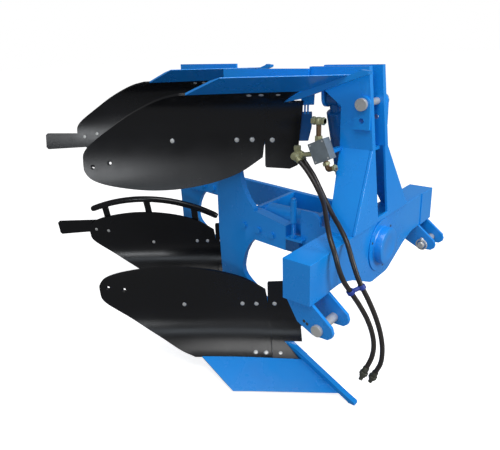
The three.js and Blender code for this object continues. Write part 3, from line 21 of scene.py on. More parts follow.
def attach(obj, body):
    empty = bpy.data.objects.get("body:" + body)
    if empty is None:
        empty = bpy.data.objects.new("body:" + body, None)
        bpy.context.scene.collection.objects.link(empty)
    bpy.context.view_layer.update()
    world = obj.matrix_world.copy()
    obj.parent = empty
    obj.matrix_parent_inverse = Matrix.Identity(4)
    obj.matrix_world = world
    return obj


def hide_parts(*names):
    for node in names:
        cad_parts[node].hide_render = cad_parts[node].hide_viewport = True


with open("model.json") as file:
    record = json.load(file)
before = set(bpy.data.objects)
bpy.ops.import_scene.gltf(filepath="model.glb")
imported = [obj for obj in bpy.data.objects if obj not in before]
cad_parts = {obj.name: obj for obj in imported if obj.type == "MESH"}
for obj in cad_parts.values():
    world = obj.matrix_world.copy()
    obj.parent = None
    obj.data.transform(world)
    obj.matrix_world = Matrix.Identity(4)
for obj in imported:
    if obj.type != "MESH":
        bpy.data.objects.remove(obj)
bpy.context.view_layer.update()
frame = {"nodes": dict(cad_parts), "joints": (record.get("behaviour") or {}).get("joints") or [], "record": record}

Array = np.ndarray
Point = tuple[float, float, float]
Pair = tuple[float, float]

# MM is a millimetre in metres, GAP the clearance in millimetres between pieces that meet,
# ORIGIN the machine's own origin in the row frame
LOG = logging.getLogger("plough")
MM = 0.001
GAP = 0.3
ORIGIN = np.array(next(j["pos_m"] for j in frame["joints"] if j["name"] == "turnover"))


class Body(Enum):
    """Moving bodies of the machine."""

    HEADSTOCK = "headstock"
    BARREL = "cylinder_barrel"
    ROD = "cylinder_rod"
    FRAME = "plough_frame"


class Level(Enum):
    """Side of the shaft that a plough body hangs on at rest."""

    LOWER = -1
    UPPER = 1


# Shapes


@dataclass
class Shape:
    """Closed surfaces as points in machine millimetres and faces of point numbers."""

    points: Array
    faces: list[tuple[int, ...]]

    def moved(self, offset: Sequence[float]) -> "Shape":
        """Returns the same surfaces carried along an offset."""
        return Shape(self.points + np.asarray(offset, float), self.faces)

    def opened(self) -> "Shape":
        """Returns a turned surface without its two end faces, for a profile that ends where it starts."""
        return Shape(self.points, self.faces[:-2])


def together(shapes: Iterable[Shape]) -> Shape:
    """Puts several shapes in one.

    Args:
        shapes: The shapes to gather.

    Returns:
        One shape with all points and faces.
    """
    points, faces, start = [], [], 0
    for shape in shapes:
        points.append(shape.points)
        faces += [tuple(corner + start for corner in face) for face in shape.faces]
        start += len(shape.points)
    return Shape(np.vstack(points), faces)


def net(rows: int, columns: int, start: int = 0, wrap: bool = False) -> list[tuple[int, ...]]:
    """Quads of a grid of points numbered row by row.

    Args:
        rows: Number of rows of points.
        columns: Number of points in a row.
        start: Number of the first point.
        wrap: Whether each row closes on itself.

    Returns:
        One quad for each cell.
    """
    grid = start + np.arange(rows * columns).reshape(rows, columns)
    if wrap:
        grid = np.hstack([grid, grid[:, :1]])
    quads = np.stack([grid[:-1, :-1], grid[1:, :-1], grid[1:, 1:], grid[:-1, 1:]], -1)
    return [tuple(quad) for quad in quads.reshape(-1, 4).tolist()]


def unit(way: Array) -> Array:
    """Direction of a way, with length one."""
    return way / np.linalg.norm(way)


def frame_of(way: Array) -> tuple[Array, Array]:
    """Two unit directions square to each other and to a way.

    Args:
        way: Unit vector.

    Returns:
        The two directions.
    """
    aside = np.eye(3)[int(np.argmin(np.abs(way)))]
    first = unit(np.cross(way, aside))
    return first, np.cross(way, first)


def capped(rings: Array) -> Shape:
    """Joins a row of rings with quads and closes it with a face at each end.

    Args:
        rings: Points in machine millimetres, ring by ring.

    Returns:
        The closed surface.
    """
    rows, sides = rings.shape[:2]
    faces = net(rows, sides, wrap=True)
    faces.append(tuple(range(sides)))
    faces.append(tuple(range((rows - 1) * sides, rows * sides))[::-1])
    return Shape(rings.reshape(-1, 3), faces)


def turned(start: Sequence[float], end: Sequence[float], profile: Sequence[Pair], sides: int = 48) -> Shape:
    """Surface of revolution about the line from start to end.

    Formula: each profile pair (a, r) gives a ring of radius r at the distance a from start.

    Args:
        start: Point where the axis begins.
        end: Point that the axis passes through.
        profile: Distances along the axis in millimetres with radii.
        sides: Points round each ring.

    Returns:
        The closed surface.
    """
    origin = np.asarray(start, float)
    way = unit(np.asarray(end, float) - origin)
    first, second = frame_of(way)
    along, radius = np.array(profile, float).T
    angle = np.linspace(0, 2 * np.pi, sides, endpoint=False)
    ring = np.cos(angle)[:, None] * first + np.sin(angle)[:, None] * second
    return capped(origin + along[:, None, None] * way + radius[:, None, None] * ring[None])


def bar(
    start: Sequence[float], end: Sequence[float], radius: float, edge: float = 1.0, sides: int = 48
) -> Shape:
    """Round bar with chamfered ends, or a prism where it has few sides.

    Args:
        start: Middle of the first end.
        end: Middle of the other end.
        radius: Radius to the corners.
        edge: Width of the chamfers.
        sides: Points round the section.

    Returns:
        The closed surface.
    """
    length = float(np.linalg.norm(np.subtract(end, start)))
    profile = [(0, radius - edge), (edge, radius), (length - edge, radius), (length, radius - edge)]
    return turned(start, end, profile, sides)


def ring(
    start: Sequence[float], end: Sequence[float], outer: float, inner: float, edge: float = 0.8
) -> Shape:
    """Washer or sleeve between two points, open through its middle.

    Args:
        start: Middle of the first face.
        end: Middle of the other face.
        outer: Outer radius.
        inner: Inner radius.
        edge: Width of the outer chamfers.

    Returns:
        The closed surface.
    """
    length = float(np.linalg.norm(np.subtract(end, start)))
    profile = [
        (0, inner), (0, outer - edge), (edge, outer), (length - edge, outer),
        (length, outer - edge), (length, inner), (0, inner),
    ]
    return turned(start, end, profile).opened()


def swept(path: Array, radius: Array | float, sides: int = 20, aside: Sequence[float] = (1, 0, 0)) -> Shape:
    """Tube along a path with closed, flat ends.

    Formula: at each path point a circle lies square to the path, its first direction the part
    of `aside` that is square to it.

    Args:
        path: Points of the path.
        radius: One radius, or one for each point.
        sides: Points round the tube.
        aside: Direction that is never along the path.

    Returns:
        The closed surface.
    """
    tangent = np.gradient(path, axis=0)
    tangent /= np.linalg.norm(tangent, axis=1)[:, None]
    first = np.asarray(aside, float) - (tangent @ np.asarray(aside, float))[:, None] * tangent
    first /= np.linalg.norm(first, axis=1)[:, None]
    second = np.cross(tangent, first)
    size = np.broadcast_to(np.asarray(radius, float), (len(path),))
    angle = np.linspace(0, 2 * np.pi, sides, endpoint=False)
    circle = (
        np.cos(angle)[None, :, None] * first[:, None] + np.sin(angle)[None, :, None] * second[:, None]
    )
    return capped(path[:, None] + size[:, None, None] * circle)


def rounded_path(points: Sequence[Sequence[float]], each: int = 12) -> Array:
    """Smooth curve through points.

    Formula: a cubic between each two points, its end slopes from the three spans round them,
    each span weighted with the square root of its length.

    Args:
        points: Points that the curve passes through.
        each: Steps between two points.

    Returns:
        Points of the curve.
    """
    given = np.asarray(points, float)
    whole = np.vstack([2 * given[0] - given[1], given, 2 * given[-1] - given[-2]])
    a, b, c, d = whole[:-3], whole[1:-2], whole[2:-1], whole[3:]
    before, span, after = (
        np.sqrt(np.linalg.norm(q - p, axis=1))[:, None] for p, q in ((a, b), (b, c), (c, d))
    )
    slope = ((b - a) / before - (c - a) / (before + span) + (c - b) / span) * span
    leave = ((c - b) / span - (d - b) / (span + after) + (d - c) / after) * span
    t = np.linspace(0, 1, each, endpoint=False)[None, :, None]
    curve = (
        (2 * t**3 - 3 * t**2 + 1) * b[:, None]
        + (t**3 - 2 * t**2 + t) * slope[:, None]
        + (3 * t**2 - 2 * t**3) * c[:, None]
        + (t**3 - t**2) * leave[:, None]
    )
    return np.vstack([curve.reshape(-1, given.shape[1]), given[-1:]])


def extruded(outline: Sequence[Pair], axis: int, low: float, high: float) -> Shape:
    """Plate with an outline, between two places on an axis.

    Args:
        outline: Corners in the two other axes, in X, Y, Z order.
        axis: Axis across the plate.
        low: Place of the first face.
        high: Place of the other face.

    Returns:
        The closed surface.
    """
    corners = np.asarray(outline, float)
    count = len(corners)
    points = np.empty((2 * count, 3))
    others = [index for index in range(3) if index != axis]
    points[:count, others] = points[count:, others] = corners
    points[:count, axis] = low
    points[count:, axis] = high
    sides = [(i, (i + 1) % count, count + (i + 1) % count, count + i) for i in range(count)]
    return Shape(points, [tuple(range(count))[::-1], tuple(range(count, 2 * count)), *sides])


# Finishes


def linear(colour: Sequence[int]) -> tuple[float, float, float, float]:
    """Shader colour of a colour given as three screen values from 0 to 255."""
    share = np.asarray(colour, float) / 255
    value = np.where(share <= 0.04045, share / 12.92, ((share + 0.055) / 1.055) ** 2.4)
    return (*value.tolist(), 1.0)


@dataclass
class Graph:
    """Node tree with short calls for adding and feeding nodes."""

    tree: bpy.types.NodeTree

    def add(
        self, kind: str, values: dict[int | str, object] | None = None, **settings: object
    ) -> bpy.types.Node:
        """Adds a node.

        Args:
            kind: Node type without its prefix.
            values: Plain values, or outputs of other nodes, for its inputs by name or number.
            **settings: Attributes of the node.

        Returns:
            The new node.
        """
        node = self.tree.nodes.new(f"ShaderNode{kind}")
        for name, value in settings.items():
            setattr(node, name, value)
        self.feed(node, values or {})
        return node

    def feed(self, node: bpy.types.Node, values: dict[int | str, object]) -> None:
        """Sets inputs of a node to plain values, or joins them to outputs of other nodes."""
        for key, value in values.items():
            if isinstance(value, bpy.types.NodeSocket):
                self.tree.links.new(value, node.inputs[key])
            else:
                node.inputs[key].default_value = value


def new_group(
    name: str, inputs: dict[str, object], outputs: dict[str, str]
) -> tuple[Graph, bpy.types.Node, bpy.types.Node]:
    """Starts a shared node group.

    Args:
        name: Name of the group.
        inputs: Input names with their first values, a number or a colour.
        outputs: Output names with their socket types.

    Returns:
        The group's graph, its input node and its output node.
    """
    tree = bpy.data.node_groups.new(name, "ShaderNodeTree")
    for label, value in inputs.items():
        kind = "NodeSocketFloat" if isinstance(value, float) else "NodeSocketColor"
        tree.interface.new_socket(label, in_out="INPUT", socket_type=kind).default_value = value
    for label, kind in outputs.items():
        tree.interface.new_socket(label, in_out="OUTPUT", socket_type=kind)
    return Graph(tree), tree.nodes.new("NodeGroupInput"), tree.nodes.new("NodeGroupOutput")


@lru_cache(maxsize=None)
def mottle_group() -> bpy.types.NodeTree:
    """Group that mixes two colours in soft clouds and gives a gloss that varies with them."""
    inputs = {
        "Colour": (0.5, 0.5, 0.5, 1.0), "Shade": (0.3, 0.3, 0.3, 1.0), "Scale": 8.0,
        "Amount": 0.5, "Smooth": 0.3, "Rough": 0.4,
    }
    graph, given, out = new_group(
        "mottle", inputs, {"Colour": "NodeSocketColor", "Roughness": "NodeSocketFloat"}
    )
    where = graph.add("TexCoord").outputs["Object"]
    values = given.outputs
    noise = {"Vector": where, "Scale": values["Scale"], "Detail": 5.0, "Roughness": 0.6}
    cloud = graph.add("TexNoise", noise).outputs["Fac"]
    spread = graph.add("MapRange", {"Value": cloud, "From Min": 0.35, "From Max": 0.65}).outputs["Result"]
    share = graph.add("Math", {0: spread, 1: values["Amount"]}, operation="MULTIPLY").outputs[0]
    colours = {"Factor": share, 6: values["Colour"], 7: values["Shade"]}
    mix = graph.add("Mix", colours, data_type="RGBA")
    ends = {"Value": spread, "To Min": values["Smooth"], "To Max": values["Rough"]}
    gloss = graph.add("MapRange", ends)
    graph.feed(out, {"Colour": mix.outputs[2], "Roughness": gloss.outputs["Result"]})
    return graph.tree


@lru_cache(maxsize=None)
def relief_group() -> bpy.types.NodeTree:
    """Group that gives the normal of a fine, even relief such as orange peel or cast skin."""
    graph, given, out = new_group(
        "relief", {"Scale": 300.0, "Depth": 0.1}, {"Normal": "NodeSocketVector"}
    )
    where = graph.add("TexCoord").outputs["Object"]
    noise = {"Vector": where, "Scale": given.outputs["Scale"], "Detail": 3.0, "Roughness": 0.5}
    height = graph.add("TexNoise", noise).outputs["Fac"]
    relief = {"Height": height, "Strength": given.outputs["Depth"], "Distance": 0.0006}
    bump = graph.add("Bump", relief)
    graph.feed(out, {"Normal": bump.outputs["Normal"]})
    return graph.tree


@dataclass(frozen=True)
class Finish:
    """Finish of a material, with its values for the shared groups."""

    name: str
    slot: str
    colour: tuple[int, int, int]
    shade: tuple[int, int, int]
    amount: float = 0.5
    cloud: float = 9.0
    smooth: float = 0.25
    rough: float = 0.4
    metallic: float = 0.0
    coat: float = 0.0
    specular: float = 0.5
    grain: float = 350.0
    depth: float = 0.08

    def material(self) -> bpy.types.Material:
        """Returns the material, made once."""
        found = bpy.data.materials.get(self.name)
        return found or self.build()

    def build(self) -> bpy.types.Material:
        """Builds the material.

        Returns:
            A material whose colour, gloss and relief come from the shared groups.
        """
        material = bpy.data.materials.new(self.name)
        material.use_nodes = True
        graph = Graph(material.node_tree)
        mottle = graph.add("Group", {
            "Colour": linear(self.colour), "Shade": linear(self.shade), "Scale": self.cloud,
            "Amount": self.amount, "Smooth": self.smooth, "Rough": self.rough,
        }, node_tree=mottle_group())
        relief = graph.add("Group", {"Scale": self.grain, "Depth": self.depth}, node_tree=relief_group())
        graph.feed(material.node_tree.nodes["Principled BSDF"], {
            "Metallic": self.metallic, "Coat Weight": self.coat, "Coat Roughness": self.smooth / 2,
            "Specular IOR Level": self.specular, "Base Color": mottle.outputs["Colour"],
            "Roughness": mottle.outputs["Roughness"], "Normal": relief.outputs["Normal"],
        })
        return material


BLUE = Finish(
    "blue_gloss_paint", "blue_paint", (20, 142, 232), (12, 128, 220), cloud=5.0, smooth=0.2,
    rough=0.32, coat=0.15, grain=260.0, depth=0.07,
)
# Darker blue painted as shade: the cylinder barrel, the frog's front end and the box under the shelf lie in shade,
# and this colour paints that shade in.
SHADED_BLUE = Finish(
    "deep_blue_paint", "blue_paint", (16, 88, 152), (12, 74, 134), cloud=6.0, smooth=0.2,
    rough=0.32, coat=0.1, grain=260.0, depth=0.07,
)
BLACK = Finish(
    "black_satin_paint", "black_paint", (12, 13, 16), (18, 19, 23), cloud=4.0, smooth=0.2,
    rough=0.28, specular=0.4, grain=420.0, depth=0.05,
)
PIN = Finish(
    "zinc_plated_steel", "pin_steel", (206, 207, 206), (176, 177, 174), cloud=30.0, smooth=0.26,
    rough=0.4, metallic=0.45, grain=700.0, depth=0.06,
)
BOLT = Finish(
    "bare_bolt_steel", "pin_steel", (206, 207, 206), (164, 166, 166), cloud=60.0, smooth=0.3,
    rough=0.45, metallic=0.35, grain=900.0, depth=0.1,
)
CHROME = Finish(
    "hard_chrome", "rod_chrome", (222, 224, 226), (206, 208, 212), cloud=20.0, smooth=0.07,
    rough=0.12, metallic=1.0, grain=900.0, depth=0.01,
)
BRONZE = Finish(
    "bush_bronze_satin", "bush_bronze", (172, 132, 76), (138, 100, 56), cloud=25.0, smooth=0.3,
    rough=0.45, metallic=0.9, grain=500.0, depth=0.08,
)
CAST = Finish(
    "cast_grey_paint", "valve_grey", (112, 122, 128), (84, 92, 98), cloud=40.0, smooth=0.35,
    rough=0.5, grain=420.0, depth=0.25,
)
PASSIVATED = Finish(
    "yellow_zinc", "fitting_zinc", (176, 176, 138), (132, 134, 104), cloud=60.0, smooth=0.28,
    rough=0.42, metallic=0.45, grain=800.0, depth=0.06,
)
PIPE = Finish(
    "brown_pipe", "fitting_zinc", (120, 96, 70), (86, 70, 54), cloud=60.0, smooth=0.3,
    rough=0.45, metallic=0.6, grain=600.0, depth=0.06,
)
COUPLER = Finish(
    "dark_coupler_zinc", "fitting_zinc", (92, 94, 84), (64, 66, 60), cloud=60.0, smooth=0.3,
    rough=0.45, metallic=0.7, grain=700.0, depth=0.08,
)
RUBBER = Finish(
    "hose_rubber_black", "hose_rubber", (34, 31, 30), (50, 43, 39), cloud=50.0, smooth=0.28,
    rough=0.42, grain=900.0, depth=0.12,
)
TIE = Finish(
    "tie_blue", "tie_plastic", (36, 62, 150), (28, 50, 128), cloud=60.0, smooth=0.35,
    rough=0.5, grain=700.0, depth=0.05,
)
# Dark steel of the hub cap's screws; the same colour is painted as shade in the gaps round the mouldboard bolts
# and in the hitch ear's two holes.
DARK_STEEL_AND_SHADE = Finish(
    "dark_thread", "pin_steel", (92, 96, 100), (60, 63, 66), cloud=80.0, smooth=0.35,
    rough=0.5, metallic=0.8, grain=900.0, depth=0.1,
)


# Pieces

BODY_OF = {
    node: Body(body)
    for body, nodes in frame["record"]["behaviour"]["bodies"].items()
    for node in nodes
}
SHARP_ANGLE = 32.0
BEVEL_ANGLE = 38.0
FLAT_ANGLE = 0.6
WELD = 1e-6
SOLID_WELD = 2e-5


def finish_mesh(mesh: bpy.types.Mesh, sharp: float, weld: float, dissolve: float = 0.0) -> None:
    """Merges doubles, turns faces outwards and sets which edges stay sharp.

    Args:
        mesh: Mesh to clean, in metres.
        sharp: Edges past this angle in degrees stay sharp.
        weld: Distance for merging points, in metres.
        dissolve: Angle in degrees under which flat neighbours become one face, or 0.
    """
    work = bmesh.new()
    work.from_mesh(mesh)
    bmesh.ops.remove_doubles(work, verts=work.verts, dist=weld)
    bmesh.ops.dissolve_degenerate(work, edges=work.edges, dist=weld)
    if dissolve:
        bmesh.ops.dissolve_limit(
            work, angle_limit=math.radians(dissolve), verts=work.verts, edges=work.edges
        )
    bmesh.ops.recalc_face_normals(work, faces=work.faces)
    work.to_mesh(mesh)
    work.free()
    mesh.shade_smooth()
    mesh.set_sharp_from_angle(angle=math.radians(sharp))


def place_piece(
    name: str,
    mesh: bpy.types.Mesh,
    finish: Finish,
    body: Body,
    stands_for: Sequence[str],
    bevel: float,
) -> bpy.types.Object:
    """Puts a mesh in the scene as a piece that rides on a body.

    Args:
        name: Name of the piece.
        mesh: Finished mesh, in place in the row frame.
        finish: Its finish.
        body: Body that it moves with.
        stands_for: Solids that it replaces.
        bevel: Width of the rounded edges in millimetres, or 0.

    Returns:
        The piece.
    """
    piece = bpy.data.objects.new(name, mesh)
    bpy.context.scene.collection.objects.link(piece)
    mesh.materials.clear()
    mesh.materials.append(finish.material())
    if bevel:
        edge = piece.modifiers.new("edges", "BEVEL")
        edge.width = bevel * MM
        edge.segments = 2
        edge.limit_method = "ANGLE"
        edge.angle_limit = math.radians(BEVEL_ANGLE)
        edge.harden_normals = True
    if stands_for:
        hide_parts(*stands_for)
    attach(piece, body.value)
    LOG.info("%s: %d faces on %s", name, len(mesh.polygons), body.value)
    return piece


def mesh_of(name: str, shape: Shape, sharp: float) -> bpy.types.Mesh:
    """Mesh of a shape, in place in the row frame."""
    mesh = bpy.data.meshes.new(name)
    mesh.from_pydata((ORIGIN + shape.points * MM).tolist(), [], shape.faces)
    finish_mesh(mesh, sharp, WELD)
    return mesh


def cut_away(mesh: bpy.types.Mesh, holes: Shape, sharp: float) -> bpy.types.Mesh:
    """Cuts shapes out of a mesh.

    Args:
        mesh: Closed mesh.
        holes: Closed shapes that are taken away.
        sharp: Edges past this angle in degrees stay sharp.

    Returns:
        A new mesh with the holes.
    """
    blank = bpy.data.objects.new("blank", mesh)
    cutter = bpy.data.objects.new("cutter", mesh_of("cutter", holes, sharp))
    for item in (blank, cutter):
        bpy.context.scene.collection.objects.link(item)
    hole = blank.modifiers.new("holes", "BOOLEAN")
    hole.object = cutter
    hole.operation = "DIFFERENCE"
    hole.solver = "EXACT"
    bpy.context.view_layer.update()
    graph = bpy.context.evaluated_depsgraph_get()
    result = bpy.data.meshes.new_from_object(blank.evaluated_get(graph))
    for item in (blank, cutter):
        bpy.data.objects.remove(item)
    finish_mesh(result, sharp, WELD)
    return result


def add_piece(
    name: str,
    shape: Shape,
    finish: Finish,
    body: Body,
    stands_for: Sequence[str] = (),
    bevel: float = 0.0,
    sharp: float = SHARP_ANGLE,
    holes: Shape | None = None,
) -> bpy.types.Object:
    """Makes a piece from a shape.

    Args:
        name: Name of the piece.
        shape: Its surfaces in machine millimetres.
        finish: Its finish.
        body: Body that it moves with.
        stands_for: Solids that it replaces.
        bevel: Width of the rounded edges in millimetres, or 0.
        sharp: Edges past this angle in degrees stay sharp.
        holes: Shapes cut out of it.

    Returns:
        The piece.
    """
    mesh = mesh_of(name, shape, sharp)
    if holes:
        mesh = cut_away(mesh, holes, sharp)
    return place_piece(name, mesh, finish, body, stands_for, bevel)


def stand_in(node: str, shape: Shape, finish: Finish, bevel: float = 0.0) -> bpy.types.Object:
    """Makes the piece that replaces a solid and rides on its body.

    Args:
        node: Name of the solid.
        shape: Surfaces of the piece in machine millimetres.
        finish: Its finish.
        bevel: Width of the rounded edges in millimetres, or 0.

    Returns:
        The piece.
    """
    return add_piece(f"{node}_fine", shape, finish, BODY_OF[node], [node], bevel)


def refine(node: str, finish: Finish, bevel: float = 1.5) -> bpy.types.Object:
    """Gives a solid whose shape is right a copy with rounded edges.

    Args:
        node: Name of the solid.
        finish: Finish of the copy.
        bevel: Width of the rounded edges in millimetres.

    Returns:
        The piece, which replaces the solid.
    """
    mesh = frame["nodes"][node].data.copy()
    finish_mesh(mesh, SHARP_ANGLE, SOLID_WELD, dissolve=FLAT_ANGLE)
    return place_piece(f"{node}_fine", mesh, finish, BODY_OF[node], [node], bevel)


# Working surface of the plough bodies


@dataclass(frozen=True)
class SoilSurface:
    """Surface that turns the soil: a flat share and a mouldboard that rolls up and back.

    Places on it are a distance along the body, negative towards the tail, and a depth under
    the shaft. The section is a line at the share's angle, then an arc, then a wider arc, and
    it leans further out towards the tail.
    """

    angle: float = 34.5
    share_angle: float = 25.0
    across: float = 42.4
    joint: float = 550.0
    radius: float = 195.0
    upper_radius: float = 620.0
    twist_from: float = 430.0
    twist_run: float = 640.0
    twist: float = 50.0
    twist_power: float = 1.6
    plate: float = 9.0

    @property
    def centre(self) -> float:
        """Depth of the arcs' middle: the section's line runs into the lower arc at the joint."""
        return self.joint - self.radius * math.cos(math.radians(self.share_angle))

    @property
    def heading(self) -> Array:
        """Level direction from the tail to the share point."""
        turn = math.radians(self.angle)
        return np.array([-math.sin(turn), math.cos(turn), 0.0])

    @property
    def outward(self) -> Array:
        """Level direction square to the heading, out of the plates' front faces."""
        turn = math.radians(self.angle)
        return np.array([math.cos(turn), math.sin(turn), 0.0])

    def point(self, along: Array, depth: Array, behind: Array | float, level: Level) -> Array:
        """Points of the surface.

        Formula: out of the section at that depth comes the distance across, the arcs offset
        by the distance behind; the twist adds a power of the distance towards the tail.

        Args:
            along: Distances along the body.
            depth: Depths under the shaft of the front face.
            behind: Distance behind the front face.
            level: Side of the shaft.

        Returns:
            Points in machine millimetres.
        """
        along, depth, behind = np.broadcast_arrays(
            np.asarray(along, float), np.asarray(depth, float), np.asarray(behind, float)
        )
        share = math.radians(self.share_angle)
        joint = self.centre + self.radius * math.cos(share)
        rise = np.clip((joint - depth) / math.sin(share), None, 0)
        low = np.arccos(np.clip((depth - self.centre) / self.radius, -1, math.cos(share)))
        high = np.arcsin(np.clip((self.centre - depth) / self.upper_radius, 0, 1))
        angle = np.where(depth > self.centre, np.maximum(low, share), math.pi / 2)
        arc = self.radius + behind
        wide = self.upper_radius + behind
        out = np.where(
            depth > self.centre,
            self.across - arc * np.sin(angle) - rise * math.cos(share),
            self.across - self.radius + self.upper_radius - wide * np.cos(high),
        )
        drop = np.where(
            depth > self.centre,
            self.centre + arc * np.cos(angle) - rise * math.sin(share),
            self.centre - wide * np.sin(high),
        )
        run = np.clip((-along - self.twist_from) / self.twist_run, 0, None)
        out = out + self.twist * run**self.twist_power
        flat = along[..., None] * self.heading + out[..., None] * self.outward
        flat[..., 2] = level.value * drop
        return flat

    def away(self, along: float, depth: float, level: Level) -> Array:
        """Unit direction out of the back of the surface at one place."""
        front, back = (self.point(along, depth, b, level) for b in (0.0, self.plate))
        return unit(back - front)

    def panel(self, along: Array, depth: Array, front: float, back: Array | float, level: Level) -> Shape:
        """Plate that follows the surface.

        Formula: two grids of points, one for each face, with a strip of quads round their rim.

        Args:
            along: Grid of distances along the body.
            depth: Grid of depths, of the same size.
            front: Distance of the first face behind the surface.
            back: Distance of the other face, one or a grid.
            level: Side of the shaft.

        Returns:
            The closed plate.
        """
        rows, columns = along.shape
        near = self.point(along, depth, front, level).reshape(-1, 3)
        far = self.point(along, depth, back, level).reshape(-1, 3)
        count = rows * columns
        faces = net(rows, columns) + [f[::-1] for f in net(rows, columns, count)]
        grid = np.arange(count).reshape(rows, columns)
        rim = np.concatenate([grid[0, :-1], grid[:-1, -1], grid[-1, :0:-1], grid[:0:-1, 0]])
        after = np.roll(rim, -1)
        faces += [tuple(q) for q in np.stack([rim, rim + count, after + count, after], 1).tolist()]
        return Shape(np.vstack([near, far]), faces)


SOIL = SoilSurface()
REAR_STEP = (-390.0, -666.0, 0.0)


def between(places: Sequence[Pair], share: Array) -> Array:
    """Value of a broken line given as pairs of share and value."""
    x, y = np.array(places, float).T
    return np.interp(share, x, y)


@dataclass
class PloughBody:
    """Plates of one body: mouldboard, shin, share and bar point, with their bolts."""

    place: str
    level: Level
    offset: Point
    board_tail: float = -1114.0
    board_length: float = 749.7
    board_height: float = 385.0
    dense_tail: float = 0.05
    dense_front: float = 0.955
    bolt_run: float = 750.0
    joint: float = 549.85
    shin_back: float = -386.0
    shin_length: float = 145.0
    shin_height: float = 305.0
    ground: float = 626.0
    share_top: Pair = (-665.0, -226.0)
    share_edge: Pair = (-519.0, -71.0)
    edge_rise: Pair = (12.0, 18.0)
    edge_thickness: float = 3.5
    edge_from: float = 0.72
    head: float = 9.4
    seat_edge: float = 1.6
    hole: float = 5.8
    hole_depth: float = 14.0
    nose_from: float = -330.0
    nose_edge: tuple[float, float, float] = (-219.0, -206.0, -206.0)
    nose_depths: Pair = (350.0, 454.0)
    nose_thick: float = 14.0
    toe: Pair = (-247.0, -200.0)
    toe_depths: Pair = (486.0, 530.0)
    rib_shares: tuple[float, float, float] = (0.1, 0.5, 0.9)
    rib_run: float = 28.0
    rib_half: float = 3.0
    rib_depth: float = 448.0
    rib_lap: float = 4.0
    board_top: tuple[Pair, ...] = (
        (0, 0.691), (0.005, 0.766), (0.037, 0.844), (0.097, 0.899), (0.205, 0.948),
        (0.352, 0.982), (0.499, 0.979), (0.632, 0.945), (0.739, 0.896), (0.845, 0.818),
        (0.959, 0.675),
    )
    board_front: tuple[Pair, ...] = ((0.959, 0.675), (0.971, 0.488), (1, 0))
    board_bottom: tuple[Pair, ...] = (
        (0, 0.691), (0.004, 0.59), (0.024, 0.528), (0.072, 0.449), (0.158, 0.337), (0.278, 0.197),
        (0.403, 0.085), (0.48, 0.033), (0.56, 0),
    )
    shin_left: tuple[Pair, ...] = ((0, 0.152), (0.616, 0), (0.955, 0), (0.985, 0.03), (1, 0.66))
    shin_right: tuple[Pair, ...] = (
        (0, 0.9), (0.144, 0.47), (0.147, 1.007), (0.682, 0.903), (0.955, 0.875), (1, 0.66),
    )
    bolts: tuple[Pair, ...] = (
        (0.483, 0.483), (0.824, 0.492), (0.905, 0.492), (1.009, 0.5), (0.904, 0.028),
        (0.963, 0.028), (1.044, 0.028),
    )
    tail_bolts: tuple[Pair, ...] = ((0.052, 0.725), (0.143, 0.691))

    @property
    def name(self) -> str:
        """Ending of the names of this body's pieces."""
        return f"{self.place}_{self.level.name.lower()}"

    def build(self) -> None:
        """Builds every piece of the body."""
        self.mouldboard()
        self.shin()
        self.share()
        refine(f"bar_point_{self.name}", BLUE, 1.5)
        self.bolt_heads()
        self.frog_nose()

    def mouldboard(self) -> None:
        """Builds the mouldboard: its edges are smooth curves through the outline's places."""
        top = rounded_path(self.board_top, 10)
        bottom = rounded_path(self.board_bottom, 10)
        top = np.vstack([top, self.board_front[1:]])
        bottom = np.vstack([bottom, (1.0, 0.0)])
        share = np.concatenate([
            np.linspace(0, 1, 16, endpoint=False) ** 2 * self.dense_tail,
            np.linspace(self.dense_tail, self.dense_front, 64, endpoint=False),
            np.linspace(self.dense_front, 1, 14),
        ])
        high = np.interp(share, top[:, 0], top[:, 1])
        low = np.minimum(np.interp(share, bottom[:, 0], bottom[:, 1]), high)
        up = low[:, None] + (high - low)[:, None] * np.linspace(0, 1, 44)
        along = self.board_tail + np.broadcast_to(share[:, None], up.shape) * self.board_length
        shape = SOIL.panel(along, self.joint - up * self.board_height, 0.0, SOIL.plate, self.level)
        self.add("mouldboard", shape, BLACK, holes=self.tail_holes())

    def tail_holes(self) -> Shape | None:
        """Countersunk holes that stay empty on the front bodies, which carry no tail piece."""
        if self.place != "front":
            return None
        shapes = []
        for share, up in self.tail_bolts:
            foot, out = self.seat(share, up)
            sink = self.hole_depth
            hole = [
                (0, self.hole), (sink - 4.5, self.hole), (sink, self.head),
                (sink + 2, self.head + self.seat_edge),
            ]
            shapes.append(turned(foot - sink * out, foot + out, hole, 28))
        return together(shapes)

    def bolt_place(self, share: float, up: float) -> Pair:
        """Distance along the body and depth of a bolt, from its shares of the mouldboard."""
        return self.board_tail + share * self.bolt_run, SOIL.joint - up * self.board_height

    def seat(self, share: float, up: float) -> tuple[Array, Array]:
        """Place of a bolt on the front face, and the direction out of that face."""
        along, depth = self.bolt_place(share, up)
        return SOIL.point(along, depth, 0.0, self.level), -SOIL.away(along, depth, self.level)

    def shin(self) -> None:
        """Builds the shin, the wearing plate in front of the mouldboard."""
        up = np.union1d(np.linspace(0, 1, 40) ** 0.8, np.array(self.shin_right)[:, 0])
        left, right = between(self.shin_left, up), between(self.shin_right, up)
        share = left[:, None] + (right - left)[:, None] * np.linspace(0, 1, 12)
        along = self.shin_back + share * self.shin_length
        depth = self.joint - np.broadcast_to(up[:, None], share.shape) * self.shin_height
        self.add("shin", SOIL.panel(along, depth, 0.0, SOIL.plate, self.level), BLACK)

